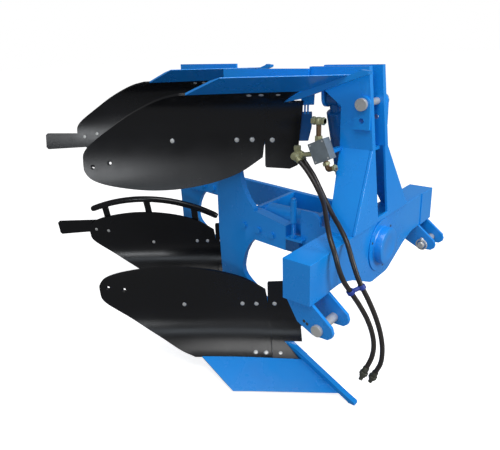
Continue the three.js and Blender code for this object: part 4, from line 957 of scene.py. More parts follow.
    def share(self) -> None:
        """Builds the share, thinner towards its cutting edge."""
        down = np.concatenate([np.linspace(0, 0.7, 12), np.linspace(0.74, 1, 8)])
        left = np.interp(down, (0, 1), (self.share_top[0], self.share_edge[0]))
        right = np.interp(down, (0, 1), (self.share_top[1], self.share_edge[1]))
        along = left[:, None] + (right - left)[:, None] * np.linspace(0, 1, 30)
        top = self.joint + GAP
        edge = self.ground - np.linspace(self.edge_rise[0], self.edge_rise[1], along.shape[1])
        depth = top + down[:, None] * (edge - top)
        back = np.interp(down, (0, self.edge_from, 1), (SOIL.plate, SOIL.plate, self.edge_thickness))
        back = np.broadcast_to(back[:, None], along.shape)
        self.add("share", SOIL.panel(along, depth, 0.0, back, self.level), BLUE)

    def bolt_heads(self) -> None:
        """Builds the countersunk heads in the plates, with a dark ring round each that paints the shade in the
        gap.
        """
        places = list(self.bolts) + ([] if self.place == "front" else list(self.tail_bolts))
        heads, gap_shades = [], []
        for share, up in places:
            foot, out = self.seat(share, up)
            head = self.head
            crown = [(0, 6), (0, head - 0.6), (1.7, head - 0.6), (2.2, head - 1.4), (2.5, 5.5), (2.6, 0.1)]
            heads.append(turned(foot - 1.5 * out, foot + out, crown, 28))
            edge = head + self.seat_edge
            # Dark ring painted as the shade in the gap round the head.
            rim = [(0, 6), (0, edge), (1.75, edge), (1.8, head - 0.2), (1.2, 6)]
            gap_shades.append(turned(foot - 1.5 * out, foot + out, rim, 28))
        self.add("bolt_heads", together(heads), BOLT, False)
        self.add("bolt_seats", together(gap_shades), DARK_STEEL_AND_SHADE, False)

    def frog_nose(self) -> None:
        """Builds the front end of the frog, which shows past the shin, and the upper frogs' toes."""
        front = SOIL.plate + GAP
        up = np.linspace(0, 1, 12)
        edge = np.interp(up, (0, 0.5, 1), self.nose_edge)
        along = self.nose_from + (edge - self.nose_from)[:, None] * np.linspace(0, 1, 8)
        depth = np.broadcast_to(np.interp(up, (0, 1), self.nose_depths)[:, None], along.shape)
        nose = SOIL.panel(along, depth, front, front + self.nose_thick, self.level)
        # The frog's front end is painted darker blue as shade, since it lies in shade behind the shin.
        add_piece(f"frog_nose_{self.name}", nose.moved(self.offset), SHADED_BLUE, Body.FRAME, bevel=1.0)
        if self.level is Level.LOWER:
            return
        places = [(np.linspace(*self.toe, 6), np.linspace(*self.toe_depths, 6))]
        for share in self.rib_shares:
            middle = self.toe[0] + share * self.rib_run
            places.append((
                middle + np.linspace(-self.rib_half, self.rib_half, 3),
                np.linspace(self.rib_depth, self.toe_depths[0] + self.rib_lap, 6),
            ))
        back = front + 2 * self.nose_thick
        toe = together(SOIL.panel(*np.meshgrid(*place), front, back, self.level) for place in places)
        add_piece(f"frog_toe_{self.name}", toe.moved(self.offset), BLUE, Body.FRAME, bevel=1.0)

    def add(
        self, kind: str, shape: Shape, finish: Finish, stands: bool = True, holes: Shape | None = None
    ) -> None:
        """Adds a piece of this body, moved to its place.

        Args:
            kind: First part of its name.
            shape: Its surfaces at the front body's place.
            finish: Its finish.
            stands: Whether it replaces the solid of that name.
            holes: Shapes cut out of it, at the front body's place.
        """
        node = f"{kind}_{self.name}"
        name = f"{node}_fine" if stands else node
        nodes, bevel = ([node], 0.8) if stands else ([], 0.0)
        cuts = holes.moved(self.offset) if holes else None
        add_piece(name, shape.moved(self.offset), finish, Body.FRAME, nodes, bevel, holes=cuts)


@dataclass
class TailSet:
    """Tail piece and guard rod of a rear body."""

    level: Level
    offset: Point = REAR_STEP
    tail_from: float = -1289.8
    tail_length: float = 309.8
    above_bolt: float = 57.0
    tail_width: float = 84.0
    thick: float = 8.0
    rod: float = 17.0
    rod_taper: float = 0.4
    rod_from: float = -1104.0
    rod_shares: Pair = (0.04, 1.012)
    rod_length: float = 725.0
    rod_depths: tuple[float, float, float] = (156.0, 0.0, 204.0)
    post_width: float = 34.0
    post_depth: float = 265.0
    nut: float = 9.6
    nut_thick: float = 7.0
    bolt: float = 5.2
    bolt_end: float = 11.0
    posts: tuple[Pair, ...] = ((0.145, 0.79), (0.477, 0.83), (0.836, 1))
    low: tuple[Pair, ...] = ((0, 0.12), (0.035, 0), (0.97, 0.05), (1, 0.15))
    high: tuple[Pair, ...] = ((0, 0.88), (0.035, 1), (0.97, 0.85), (1, 0.75))

    def build(self) -> None:
        """Builds both pieces and their fasteners."""
        end = self.level.name.lower()
        front = SOIL.plate + GAP
        stand_in(f"tail_piece_{end}", self.tail(front), BLACK, 1.0)
        stand_in(f"guard_rod_{end}", self.guard(front), BLACK)
        body = PloughBody("rear", self.level, self.offset)
        nuts = []
        for share, up in body.tail_bolts:
            along, depth = body.bolt_place(share, up)
            back = SOIL.point(along, depth, front + self.thick, self.level)
            way = SOIL.away(along, depth, self.level)
            nuts.append(bar(back - 0.2 * way, back + self.nut_thick * way, self.nut, 1.2, 6))
            nuts.append(bar(back, back + self.bolt_end * way, self.bolt, 0.8, 20))
        add_piece(f"tail_nuts_{end}", together(nuts).moved(self.offset), BOLT, Body.FRAME)

    def tail(self, front: float) -> Shape:
        """Plate that carries the mouldboard's line on.

        Args:
            front: Distance of its face behind the surface.

        Returns:
            The plate with rounded corners.
        """
        share = np.concatenate([
            np.linspace(0, 0.035, 7), np.linspace(0.06, 0.94, 26), np.linspace(0.97, 1, 5),
        ])
        low, high = between(self.low, share), between(self.high, share)
        up = low[:, None] + (high - low)[:, None] * np.linspace(0, 1, 10)
        along = self.tail_from + np.broadcast_to(share[:, None], up.shape) * self.tail_length
        bolt = SOIL.joint - PloughBody.tail_bolts[0][1] * PloughBody.board_height
        depth = bolt - self.above_bolt + up * self.tail_width
        return SOIL.panel(along, depth, front, front + self.thick, self.level).moved(self.offset)

    def line(self, share: Array) -> tuple[Array, Array]:
        """Places of the rod's middle.

        Formula: the place along runs evenly; the depth is a parabola from the first depth to
        the third, whose end slopes both aim at the second.

        Args:
            share: Shares of the rod's length.

        Returns:
            Distances along the body and depths.
        """
        a, b, c = self.rod_depths
        depth = (1 - share) ** 2 * a + 2 * share * (1 - share) * b + share**2 * c
        return self.rod_from + share * self.rod_length, depth

    def guard(self, front: float) -> Shape:
        """Rod bent along the mouldboard's top, on three flat posts.

        Formula: within one radius of each end, the rod's radius falls on an arc.

        Args:
            front: Distance of the posts' face behind the surface.

        Returns:
            The rod and its posts.
        """
        first, last = self.rod_shares
        share = np.linspace(first, last, 70)
        along, depth = self.line(share)
        middle = front + self.thick / 2
        path = SOIL.point(along, depth, middle, self.level)
        ends = np.minimum(share - first, last - share) * self.rod_length / self.rod
        size = self.rod * np.sqrt(1 - self.rod_taper * np.clip(1 - ends, 0, 1) ** 2)
        shapes = [swept(path, size, 20, (0, 0, 1))]
        for place, reach in self.posts:
            along, top = self.line(np.array(place))
            width = np.linspace(-0.5, 0.5, 5) * self.post_width + along
            rows = np.linspace(float(top), self.post_depth * reach, 10)
            grid_along, grid_depth = np.meshgrid(width, rows)
            shapes.append(SOIL.panel(grid_along, grid_depth, front, front + self.thick, self.level))
        return together(shapes).moved(self.offset)


# Headstock


@dataclass
class Headstock:
    """Beam, hub, mast, ears and their pins, which stay upright on the tractor."""

    hub: float = 68.0
    hub_rear: float = -75.0
    cap_from: float = 45.6
    cap_length: float = 32.0
    cap_flange: float = 98.0
    flange_thick: float = 4.0
    cap_screws: int = 3
    first_screw: float = 0.38
    screw_circle: float = 85.0
    pin_round: float = 14.0
    link_y: float = 69.0
    link_z: float = -113.3
    ear_inner: float = 358.5
    ear_outer: float = 466.5
    top_pin: float = 12.5
    top_y: float = -14.0
    top_z: float = 510.0
    pad_outer: float = 72.0
    pin_tail: float = 26.0
    link_head: float = 18.5
    top_head: float = 21.5
    head_thick: float = 12.0
    ring: float = 21.0
    ring_wire: float = 2.9
    bush_rear: float = -84.7
    bush_length: float = 130.3
    bush_bore: float = 45.3
    bush_outer: float = 54.9
    bush_flange: float = 60.0
    boss_inner: float = 56.0
    bracket_x: Pair = (60.0, 112.0)
    bracket_y: Pair = (-108.0, -88.0)
    bracket_z: Pair = (346.0, 358.0)
    # Radius and places of the dark discs painted as shade in the outer right ear's two holes.
    shaded_hole: float = 5.0
    shaded_hole_places: tuple[Pair, ...] = ((20.0, -101.0), (31.0, -107.0))

    def build(self) -> None:
        """Builds every piece of the headstock."""
        self.plates()
        self.hub_pieces()
        self.pins()

    def plates(self) -> None:
        """Rounds the edges of the plates and the beam."""
        refine("headstock_beam", BLUE, 3.0)
        for node in ("front_plate", "mast_plate_right", "mast_plate_left", "mast_front_plate"):
            refine(node, BLUE, 2.0)
        for side in ("right", "left"):
            for place in ("inner", "outer"):
                refine(f"hitch_ear_{side}_{place}", BLUE, 1.6)
        refine("cylinder_bracket", BLUE, 1.5)
        (rear, front), (low, high) = self.bracket_y, self.bracket_z
        bracket = extruded([(rear, low), (front, low), (front, high), (rear, high)], 0, *self.bracket_x)
        stand_in("valve_bracket", bracket, BLUE, 1.2)
        # Dark discs painted as the shade inside the outer right ear's two holes.
        face = self.ear_outer
        shaded_holes = [bar((face - 0.5, y, z), (face + 0.9, y, z), self.shaded_hole, 0.5, 16) for y, z in self.shaded_hole_places]
        add_piece("hitch_ear_plugs", together(shaded_holes), DARK_STEEL_AND_SHADE, Body.HEADSTOCK)

    def hub_pieces(self) -> None:
        """Builds the round pieces on the shaft's axis."""
        end = self.cap_from + self.cap_length
        cap = [
            (0, self.cap_flange - 1), (1, self.cap_flange), (self.flange_thick - 0.8, self.cap_flange),
            (self.flange_thick, self.cap_flange - 0.8), (self.flange_thick, self.hub + 3),
            (self.flange_thick + 2, self.hub + 0.2), (self.cap_length - 4, self.hub),
            (self.cap_length - 1.2, self.hub - 1.2), (self.cap_length, self.hub - 4),
            (self.cap_length, 40), (self.cap_length - 0.6, 38), (self.cap_length - 0.6, 2),
        ]
        round_cap = turned((0, self.cap_from, 0), (0, end, 0), cap, 96)
        stand_in("hub_cap", round_cap, BLUE)
        turns = np.arange(self.cap_screws) * 2 * np.pi / self.cap_screws + self.first_screw
        screws = []
        for turn in turns:
            x, z = self.screw_circle * math.cos(turn), self.screw_circle * math.sin(turn)
            face = self.cap_from + self.flange_thick
            screws.append(bar((x, face - 0.5, z), (x, face + 1.2, z), 4.4, 0.6, 16))
        add_piece("hub_cap_screws", together(screws), DARK_STEEL_AND_SHADE, Body.HEADSTOCK)
        bore, outer, flange, length = self.bush_bore, self.bush_outer, self.bush_flange, self.bush_length
        bush = [
            (0, bore), (0, flange), (9, flange), (10, flange - 1), (10, outer), (length, outer),
            (length, bore), (0, bore),
        ]
        sleeve = turned((0, self.bush_rear, 0), (0, 0, 0), bush, 72).opened()
        stand_in("hub_bush", sleeve, BRONZE)
        inner, outer = self.boss_inner, self.hub + GAP
        boss = [
            (0, inner), (0, self.hub - 2), (2, outer), (24, outer), (26, self.hub + 3), (26, inner),
            (0, inner),
        ]
        round_boss = turned((0, self.hub_rear - 0.2, 0), (0, 0, 0), boss, 72).opened()
        add_piece("hub_boss", round_boss, BLUE, Body.HEADSTOCK)

    def pins(self) -> None:
        """Builds the linkage pins with their heads and linch pins."""
        for side, name in ((1, "right"), (-1, "left")):
            span = (self.ear_inner - self.pin_tail, self.ear_outer + GAP)
            pin = self.pin(side, span, self.pin_round, self.link_head, self.link_y, self.link_z)
            stand_in(f"hitch_pin_{name}", pin, PIN)
            place = side * (self.ear_inner - self.pin_tail / 2)
            linch = self.linch(place, self.link_y, self.link_z, self.pin_round)
            stand_in(f"hitch_linch_pin_{name}", linch, PIN)
        span = (-self.pad_outer - self.pin_tail, self.pad_outer + GAP)
        pin = self.pin(1, span, self.top_pin, self.top_head, self.top_y, self.top_z)
        stand_in("top_link_pin", pin, PIN)
        place = -self.pad_outer - self.pin_tail / 2
        linch = self.linch(place, self.top_y, self.top_z, self.top_pin)
        stand_in("top_link_linch_pin", linch, PIN)

    def pin(
        self, side: int, span: Pair, radius: float, head_radius: float, y: float, z: float
    ) -> Shape:
        """Linkage pin with a chamfered tail and a flat head.

        Args:
            side: 1 for the right-hand side, -1 for the left.
            span: Places of the tail's end and of the head's inner face, from the middle.
            radius: Radius of the shank.
            head_radius: Radius of the head.
            y: Place along the machine.
            z: Height.

        Returns:
            The pin.
        """
        tail, head = span
        length = head - tail
        end = length + self.head_thick
        profile = [
            (0, radius - 3.5), (4, radius), (length, radius), (length, head_radius - 1),
            (length + 1, head_radius), (end - 1.4, head_radius), (end, head_radius - 1.4), (end, 1),
        ]
        return turned((side * tail, y, z), (side * head, y, z), profile, 56)

    def linch(self, x: float, y: float, z: float, radius: float) -> Shape:
        """Linch pin: a shank with a head and a sprung ring round the end of the pin.

        Args:
            x: Place across the machine.
            y: Place along the machine.
            z: Height of the pin's middle.
            radius: Radius of the pin.

        Returns:
            The shank and the ring.
        """
        low, head = z - radius - 9, z + radius + GAP
        length = head - low
        profile = [
            (0, 1.5), (2.5, 4), (length, 4), (length, 7), (length + 2, 8), (length + 11, 8),
            (length + 15, 5.5), (length + 15, 1),
        ]
        shank = turned((x, y, low), (x, y, head), profile, 28)
        angle = np.linspace(0.1, 2 * np.pi - 0.1, 50) + np.pi / 2
        path = np.stack(
            [np.full_like(angle, x), y + self.ring * np.cos(angle), z + self.ring * np.sin(angle)], 1
        )
        return together([shank, swept(path, self.ring_wire, 12)])


# Turnover cylinder


@dataclass
class TurnoverCylinder:
    """Cylinder from the mast's head down to the crank of the yoke."""

    y: float = -155.0
    top_z: float = 520.0
    crank: float = 160.0
    barrel: float = 38.0
    bore: float = 30.3
    barrel_from: float = 50.0
    barrel_to: float = 315.0
    gland: float = 25.0
    rod: float = 17.0
    eye: float = 30.0
    eye_half: float = 20.0
    pin: float = 12.5
    pin_head: float = 21.5
    pin_past: float = 12.0
    lugs: float = 17.0
    floor: float = 20.0
    gland_bore: float = 17.4
    port: float = 12.0
    piston: float = 30.0
    piston_length: float = 20.0
    crank_pin: float = 15.0
    crank_pin_half: float = 41.0

    @property
    def way(self) -> Array:
        """Unit direction from the top pin to the crank pin."""
        return unit(np.array([-self.crank, 0.0, -self.top_z]))

    @property
    def length(self) -> float:
        """Distance between the two pins at rest."""
        return math.hypot(self.crank, self.top_z)

    def at(self, along: float) -> Array:
        """Point on the cylinder's axis at a distance from the top pin."""
        return np.array([0.0, self.y, self.top_z]) + along * self.way

    def build(self) -> None:
        """Builds barrel, rod and top pin."""
        self.build_barrel()
        self.build_rod()
        half = self.eye_half + self.lugs
        face = 2 * half + self.pin_past + GAP
        profile = [
            (0, self.pin - 2.5), (2.5, self.pin), (face, self.pin), (face, self.pin_head - 1),
            (face + 1, self.pin_head), (face + 5, self.pin_head), (face + 6, self.pin_head - 1),
            (face + 6, 1),
        ]
        rear = (0, self.y - half - self.pin_past, self.top_z)
        pin = turned(rear, (0, self.y, self.top_z), profile, 48)
        stand_in("cylinder_top_pin", pin, PIN)

    def build_barrel(self) -> None:
        """Builds the barrel with its eye, end cap, gland and ports."""
        start, stop, r = self.barrel_from, self.barrel_to, self.barrel
        neck, floor = stop - self.gland, start + self.floor
        profile = [
            (6, 20), (20, 23), (start - 3, 24), (start, r - 3), (start + 3, r), (neck - 4, r),
            (neck - 3, r - 1.5), (neck, r - 1.5), (neck + 1, r), (stop - 2, r), (stop, r - 2),
            (stop, 20.5), (stop - 3, self.gland_bore + 0.2), (neck, self.gland_bore),
            (neck, self.bore), (floor, self.bore), (floor, 1),
        ]
        tube = turned(self.at(0), self.at(1), profile, 72)
        eye = self.eye_ring(self.at(0))
        out = np.array([0.0, -1.0, 0.0])
        ports = []
        for foot in (self.at(floor + 6), self.at(neck - 16)):
            ports.append(bar(foot + out * (r - 6), foot + out * (r + 0.4), self.port, 0.4, 32))
        shape = together([tube, eye, *ports])
        # The barrel gets the darker blue as painted shade, for the shade between the mast plates.
        stand_in("cylinder_barrel", shape, SHADED_BLUE)

    def eye_ring(self, middle: Array) -> Shape:
        """Eye round a pin, open through its middle."""
        low = middle + (0, -self.eye_half, 0)
        high = middle + (0, self.eye_half, 0)
        return ring(low, high, self.eye, self.pin + GAP, 1.5)

    def build_rod(self) -> None:
        """Builds the chromed rod with its piston, its eye and the crank pin."""
        head = self.barrel_to - self.gland - 5
        foot, neck, r = head - self.piston_length, self.length - self.eye, self.piston
        profile = [
            (foot, 10), (foot, r - 1), (foot + 1, r), (head - 1, r), (head, r - 1), (head, self.rod),
            (neck, self.rod), (neck + 1, 21), (neck + 15, 21), (neck + 15, 4),
        ]
        rod = turned(self.at(0), self.at(1), profile, 64)
        stand_in("cylinder_rod", rod, CHROME)
        end = self.at(self.length)
        eye = bar(end + (0, -self.eye_half, 0), end + (0, self.eye_half, 0), self.eye, 1.5, 64)
        reach = np.array((0, self.crank_pin_half, 0))
        pin = bar(end - reach, end + reach, self.crank_pin, 1.5, 48)
        add_piece("rod_eye", together([eye, pin]), PIN, Body.ROD)


# Valve and hoses


@dataclass
class Valve:
    """Hydraulic block beside the mast, its top tipped to the rear, with its fittings."""

    middle: Point = (130.0, -129.0, 352.0)
    size: Point = (40.0, 68.0, 76.0)
    tilt: float = 24.0
    nipple: float = 9.0
    elbow: float = 30.0
    pipe: float = 68.0
    inset: float = 9.0
    nut: float = 15.0
    small_nut: float = 12.5
    tee_rear: float = 26.0
    tee_front: float = 24.0
    screw: float = 4.2
    screw_places: Pair = (26.0, 30.0)

    def on(self, along: float, up: float, aside: float = 0.0) -> Array:
        """Place on the block, counted along, above and beside its middle."""
        turn = math.radians(self.tilt)
        return np.array(self.middle) + (
            aside,
            along * math.cos(turn) - up * math.sin(turn),
            along * math.sin(turn) + up * math.cos(turn),
        )

    def block(self) -> Shape:
        """Box of the block with a stepped side face, tipped about its middle."""
        half = np.array(self.size) / 2
        plates = []
        sides = ((0.0, (-half[0], half[0] - 0.4)), (self.inset, (half[0] - 1, half[0])))
        for inset, (low, high) in sides:
            y, z = half[1] - inset, half[2] - inset
            outline = [(-y, -z), (y, -z), (y, z), (-y, z)]
            plates.append(extruded(outline, 0, low, high))
        shape = together(plates)
        turn = math.radians(self.tilt)
        tipped = shape.points @ np.array(
            [[1, 0, 0], [0, math.cos(turn), math.sin(turn)], [0, -math.sin(turn), math.cos(turn)]]
        )
        return Shape(tipped, shape.faces).moved(self.middle)

    def build(self) -> None:
        """Builds the block, its pipe and elbow with their nuts and tee, and its screws."""
        stand_in("valve_block", self.block(), CAST, 1.2)
        half = self.size[2] / 2
        corner = self.on(0, -half - self.elbow)
        end = corner + (0, 30, 9)
        bend = [self.on(0, 18 - half), self.on(0, -12 - half), corner, corner + (0, 14, 4), end]
        arc = rounded_path(bend, 8)
        port = self.on(0, half - 6)
        top = port + (0, 0, 6 + self.pipe)
        pipes = [swept(arc, self.nipple, 24), bar(port, top, self.nipple, 1.0, 32)]
        add_piece("valve_pipe", together(pipes), PIPE, Body.HEADSTOCK)
        nuts = [
            bar(port + (0, 0, 4), port + (0, 0, 22), self.nut, 1.5, 6),
            bar(top - (0, 0, 10), top - (0, 0, 1), self.small_nut, 1.2, 6),
            bar(self.on(0, -4 - half), self.on(0, -16 - half), self.nut - 0.5, 1.2, 6),
            bar(corner + (0, 20, 6), end, self.small_nut, 1.0, 6),
        ]
        rear, front = top - (0, self.tee_rear, 0), top + (0, self.tee_front, 0)
        nuts += [
            bar(rear, front, self.nipple + 2, 1.5, 28),
            bar(rear, rear + (0, 13, 0), self.nut, 1.5, 6),
            bar(front - (0, 11, 0), front, self.nut - 1, 1.5, 6),
            turned(top - (0, 0, 13), top, [(0, 9), (4, 13), (13, 15), (22, 13), (26, 8), (27, 1)], 32),
        ]
        add_piece("valve_nuts", together(nuts), PASSIVATED, Body.HEADSTOCK)
        screws = []
        across, high = self.screw_places
        for along in (-across, across):
            for up in (-high, high):
                foot = self.on(along, up, self.size[0] / 2 - 2)
                screws.append(bar(foot, foot + (1.9, 0, 0), self.screw, 0.8, 6))
        add_piece("valve_screws", together(screws), BOLT, Body.HEADSTOCK)


@dataclass
class HoseRun:
    """Hydraulic hose from the valve over the beam to its quick coupler."""

    side: str
    route: tuple[Point, ...]
    tied_at: float
    radius: float = 8.5
    inset: float = 0.4
    steps: int = 10
    end_length: float = 30.0
    piece: bpy.types.Object | None = None
    coupler_piece: bpy.types.Object | None = None

    @property
    def path(self) -> Array:
        """Middle line of the hose."""
        return rounded_path(self.route, self.steps)

    @property
    def length(self) -> float:
        """Length of the middle line in millimetres."""
        return float(np.linalg.norm(np.diff(self.path, axis=0), axis=1).sum())

    @property
    def leaving(self) -> Array:
        """Unit direction in which the hose leaves the valve."""
        return unit(self.path[1] - self.path[0])

    @property
    def root(self) -> Array:
        """Place on the cross pipe that the hose's end fitting starts from."""
        return self.path[0] - self.end_length * self.leaving

    def build(self) -> None:
        """Builds the hose, its coupler and its fitting at the valve's end."""
        path = self.path
        tube = swept(path, self.radius - self.inset, 24)
        self.piece = stand_in(f"hose_{self.side}", tube, RUBBER)
        way = unit(path[-1] - path[-2])
        start = path[-1] + GAP * way
        body = [
            (0, 8.6), (0, 9.6), (2, 10.6), (16, 10.6), (18, 10), (19, 10), (19.5, 13), (20.5, 14),
            (30, 14), (31, 13), (31.2, 10.4), (38, 10.4), (39, 9.6), (39, 7), (46, 7), (47, 6),
            (49, 6), (50, 7), (52, 7), (53, 6), (53, 2),
        ]
        coupler = turned(start, start + way, body, 40)
        self.coupler_piece = stand_in(f"hose_coupler_{self.side}", coupler, COUPLER)
        crimp = [
            (0, 9), (0, 11), (8, 11.4), (9, 10), (10, 11.4), (17, 11.4), (18, 10.4), (19, 11.4),
            (29.4, 11.4), (29.6, 9.4), (29.6, 2),
        ]
        sleeve = turned(self.root, self.root + self.leaving, crimp, 36)
        add_piece(f"hose_end_{self.side}", sleeve, PASSIVATED, Body.HEADSTOCK)

    def declare(self, tie: bpy.types.Object | None) -> None:
        """Does nothing: it does not state the hose's length, end and lie.

        Args:
            tie: Tie round the two hoses; not used.
        """


LEFT_HOSE = HoseRun("left", (
    (150, -205, 307), (156, -180, 289), (169, -147, 264), (192, -104, 230), (229, -60, 201),
    (276, -22, 176), (317, 9, 156), (350, 39, 131), (367, 64, 98), (371, 80, 57), (361, 92, 15),
    (339, 106, -28), (312, 124, -80), (284, 140, -140), (263, 150, -202), (249, 150, -256),
    (246, 143, -302), (254, 132, -338),
), 11)
RIGHT_HOSE = HoseRun("right", (
    (123, -206, 308), (130, -182, 287), (144, -150, 262), (163, -112, 224), (186, -74, 190),
    (215, -32, 160), (251, 16, 136), (282, 58, 106), (301, 90, 54), (304, 116, -3), (293, 143, -62),
    (268, 160, -132), (242, 168, -204), (221, 168, -274), (208, 159, -338), (208, 144, -378),
), 9.3)


@dataclass
class HoseSet:
    """Both hoses with their tie and the cross pipe that they leave from."""

    hoses: tuple[HoseRun, ...] = (LEFT_HOSE, RIGHT_HOSE)
    wall: float = 3.8
    width: float = 14.0
    band: float = 6.8
    pipe: float = 11.5
    pipe_middle: float = 15.0
    pipe_past: float = 15.0
    neck: float = 9.0
    stub: float = 12.0
    nut: float = 15.5

    def build(self) -> None:
        for hose in self.hoses:
            hose.build()
        tie = self.build_tie()
        self.hoses[0].declare(tie)
        self.hoses[1].declare(None)
        self.build_pipe()

    def build_tie(self) -> bpy.types.Object:
        """Builds the tie: a sleeve round each hose with a short band between them.

        Returns:
            The tie.
        """
        shapes, middles = [], []
        for hose in self.hoses:
            path = hose.path
            index = round(hose.tied_at * hose.steps)
            way = unit(path[index + 1] - path[index - 1])
            low, high = path[index] - way * self.width / 2, path[index] + way * self.width / 2
            shapes.append(ring(low, high, hose.radius + self.wall, hose.radius + 0.4, 1.2))
            middles.append(path[index])
        run = unit(middles[1] - middles[0])
        gap = self.hoses[0].radius + 2.2
        shapes.append(bar(middles[0] + gap * run, middles[1] - gap * run, self.band, 1.2, 16))
        return stand_in("hose_tie", together(shapes), TIE)

    def build_pipe(self) -> None:
        """Builds the cross pipe behind the valve block, with its neck, collar and nuts."""
        left, right = (hose.root for hose in self.hoses)
        y, z = left[1:]
        low, high = right[0] - self.pipe_past, left[0] + self.pipe_past
        length, r, middle = high - low, self.pipe, self.pipe_middle
        profile = [
            (0, r - 1.5), (1, r), (9, r), (10, middle), (length - 10, middle), (length - 9, r),
            (length - 1, r), (length, r - 1.5),
        ]
        pipe = turned((low, y, z), (high, y, z), profile, 32)
        valve = Valve()
        collar = np.array((valve.middle[0], y, z))
        port = valve.on(-valve.size[1] / 2 - 0.5, 0)
        neck = bar(collar, port, self.neck, 0.5, 24)
        nuts = []
        for hose in self.hoses:
            root, way = hose.root, hose.leaving
            nuts.append(bar(root - 6 * way, root + 14 * way, self.nut, 1.4, 6))
        run = unit(port - collar)
        nuts += [
            bar(collar + 10 * run, collar + 26 * run, self.nut - 0.5, 1.4, 6),
            bar(collar - (0, 13, 0), collar + (0, 12, 0), self.nut, 2.5, 32),
            bar(collar + (0, 0, 8), collar + (0, 0, 27), self.stub, 1.4, 32),
            bar(collar + (0, 0, 20), collar + (0, 0, 36), self.nut - 1, 1.4, 6),
        ]
        fittings = together([pipe, neck, *nuts])
        stand_in("hose_fittings", fittings, PASSIVATED)


# Turning frame


@dataclass
class Yoke:
    """Shaft, yoke plates, stop screws and adjusting screw."""

    shaft: float = 45.0
    shaft_rear: float = -110.0
    shoulder: float = 45.6
    shaft_end: float = 28.0
    nut: float = 57.0
    nut_thick: float = 22.0
    arm: float = 122.0
    stop_y: float = -70.0
    stop_reach: float = 61.7
    stop_half: float = 20.0
    stop_nut: float = 11.0
    stop_head: float = 9.0
    washer: float = 15.5
    screw: float = 8.0
    adjust: Pair = (89.8, -273.0)
    adjust_low: float = -60.0
    sleeve_from: float = 48.0
    sleeve_to: float = 142.0
    sleeve: float = 12.0
    lower_nut: float = -19.7
    screw_nut: float = 13.0
    screw_nut_thick: float = 12.0
    box_x: Pair = (75.5, 103.0)
    box_y: Pair = (-303.0, -240.0)
    box_z: Pair = (-78.0, -30.0)

    def build(self) -> None:
        """Builds the yoke's pieces."""
        for node in ("yoke_front_plate", "yoke_rear_plate", "yoke_web"):
            refine(node, BLUE, 1.5)
        self.shaft_pieces()
        self.stops()
        self.adjuster()

    def shaft_pieces(self) -> None:
        """Builds the turnover shaft and the nut on its front end."""
        step, end = self.shoulder - self.shaft_rear, self.shaft_end
        tip = step + self.nut_thick + 1.6
        profile = [
            (0, self.shaft - 1), (1, self.shaft), (step, self.shaft), (step, end), (tip - 1.6, end),
            (tip, end - 1.6), (tip, 4),
        ]
        shaft = turned((0, self.shaft_rear, 0), (0, 0, 0), profile, 72)
        stand_in("turnover_shaft", shaft, PIN)
        foot = self.shoulder + GAP
        nut = bar((0, foot, 0), (0, foot + self.nut_thick, 0), self.nut, 2.5, 6)
        stand_in("shaft_nut", nut, PIN)

    def stops(self) -> None:
        """Builds the screws that end the turnover each way, with their washers."""
        x, y = self.arm, self.stop_y
        for sign, name in ((-1, "down"), (1, "up")):
            foot = sign * (self.stop_half + self.stop_nut)
            neck, top = sign * (self.stop_reach - self.stop_head), sign * self.stop_reach
            thread = self.thread((x, y, foot), (x, y, neck), self.screw + 0.3)
            head = bar((x, y, neck), (x, y, top), self.screw_nut - 0.6, 1.2, 6)
            add_piece(f"stop_screw_{name}", together([thread, head]), BOLT, Body.FRAME)
            low, high = sign * self.stop_half, sign * (self.stop_half + 2.4)
            washer = ring((x, y, low), (x, y, high), self.washer, self.screw - 1)
            add_piece(f"stop_washer_{name}", washer, BOLT, Body.FRAME)

    def adjuster(self) -> None:
        """Builds the adjusting screw in its sleeve, and the box under the shelf at its foot."""
        x, y = self.adjust
        low, high = self.sleeve_from, self.sleeve_to
        length, r, thin = high - low, self.sleeve, self.sleeve - 1.4
        profile = [
            (0, r - 3), (0, r), (length - 14, r), (length - 13, thin), (length - 2, thin),
            (length, thin - 2), (length, 1),
        ]
        sleeve = turned((x, y, low), (x, y, high), profile, 32)
        thick = self.screw_nut_thick
        nuts = [bar((x, y, z), (x, y, z + thick), self.screw_nut, 1.2, 6) for z in (self.lower_nut, low - 6)]
        stand_in("adjusting_screw", together([sleeve, *nuts]), BLUE)
        screw = self.thread((x, y, self.adjust_low), (x, y, low), self.screw + 1)
        add_piece("adjusting_thread", screw, BLUE, Body.FRAME)
        (left, right), (rear, front) = self.box_x, self.box_y
        outline = [(left, rear), (right, rear), (right, front), (left, front)]
        box = extruded(outline, 2, *self.box_z)
        # The box is painted darker blue as the shade under the shelf.
        add_piece("side_shelf_box", box, SHADED_BLUE, Body.FRAME, bevel=1.5)

    def thread(self, start: Point, end: Point, radius: float, pitch: float = 2.0) -> Shape:
        """Threaded rod: rings whose radius rises and falls once in each pitch.

        Args:
            start: Middle of one end.
            end: Middle of the other end.
            radius: Outer radius.
            pitch: Distance between crests.

        Returns:
            The rod.
        """
        length = float(np.linalg.norm(np.subtract(end, start)))
        count = int(length / pitch) * 2
        along = np.linspace(0, length, count + 1)
        size = radius - 1.1 * (np.arange(count + 1) % 2)
        size[[0, -1]] = radius - 1.5
        return turned(start, end, list(zip(along.tolist(), size.tolist())), 28)


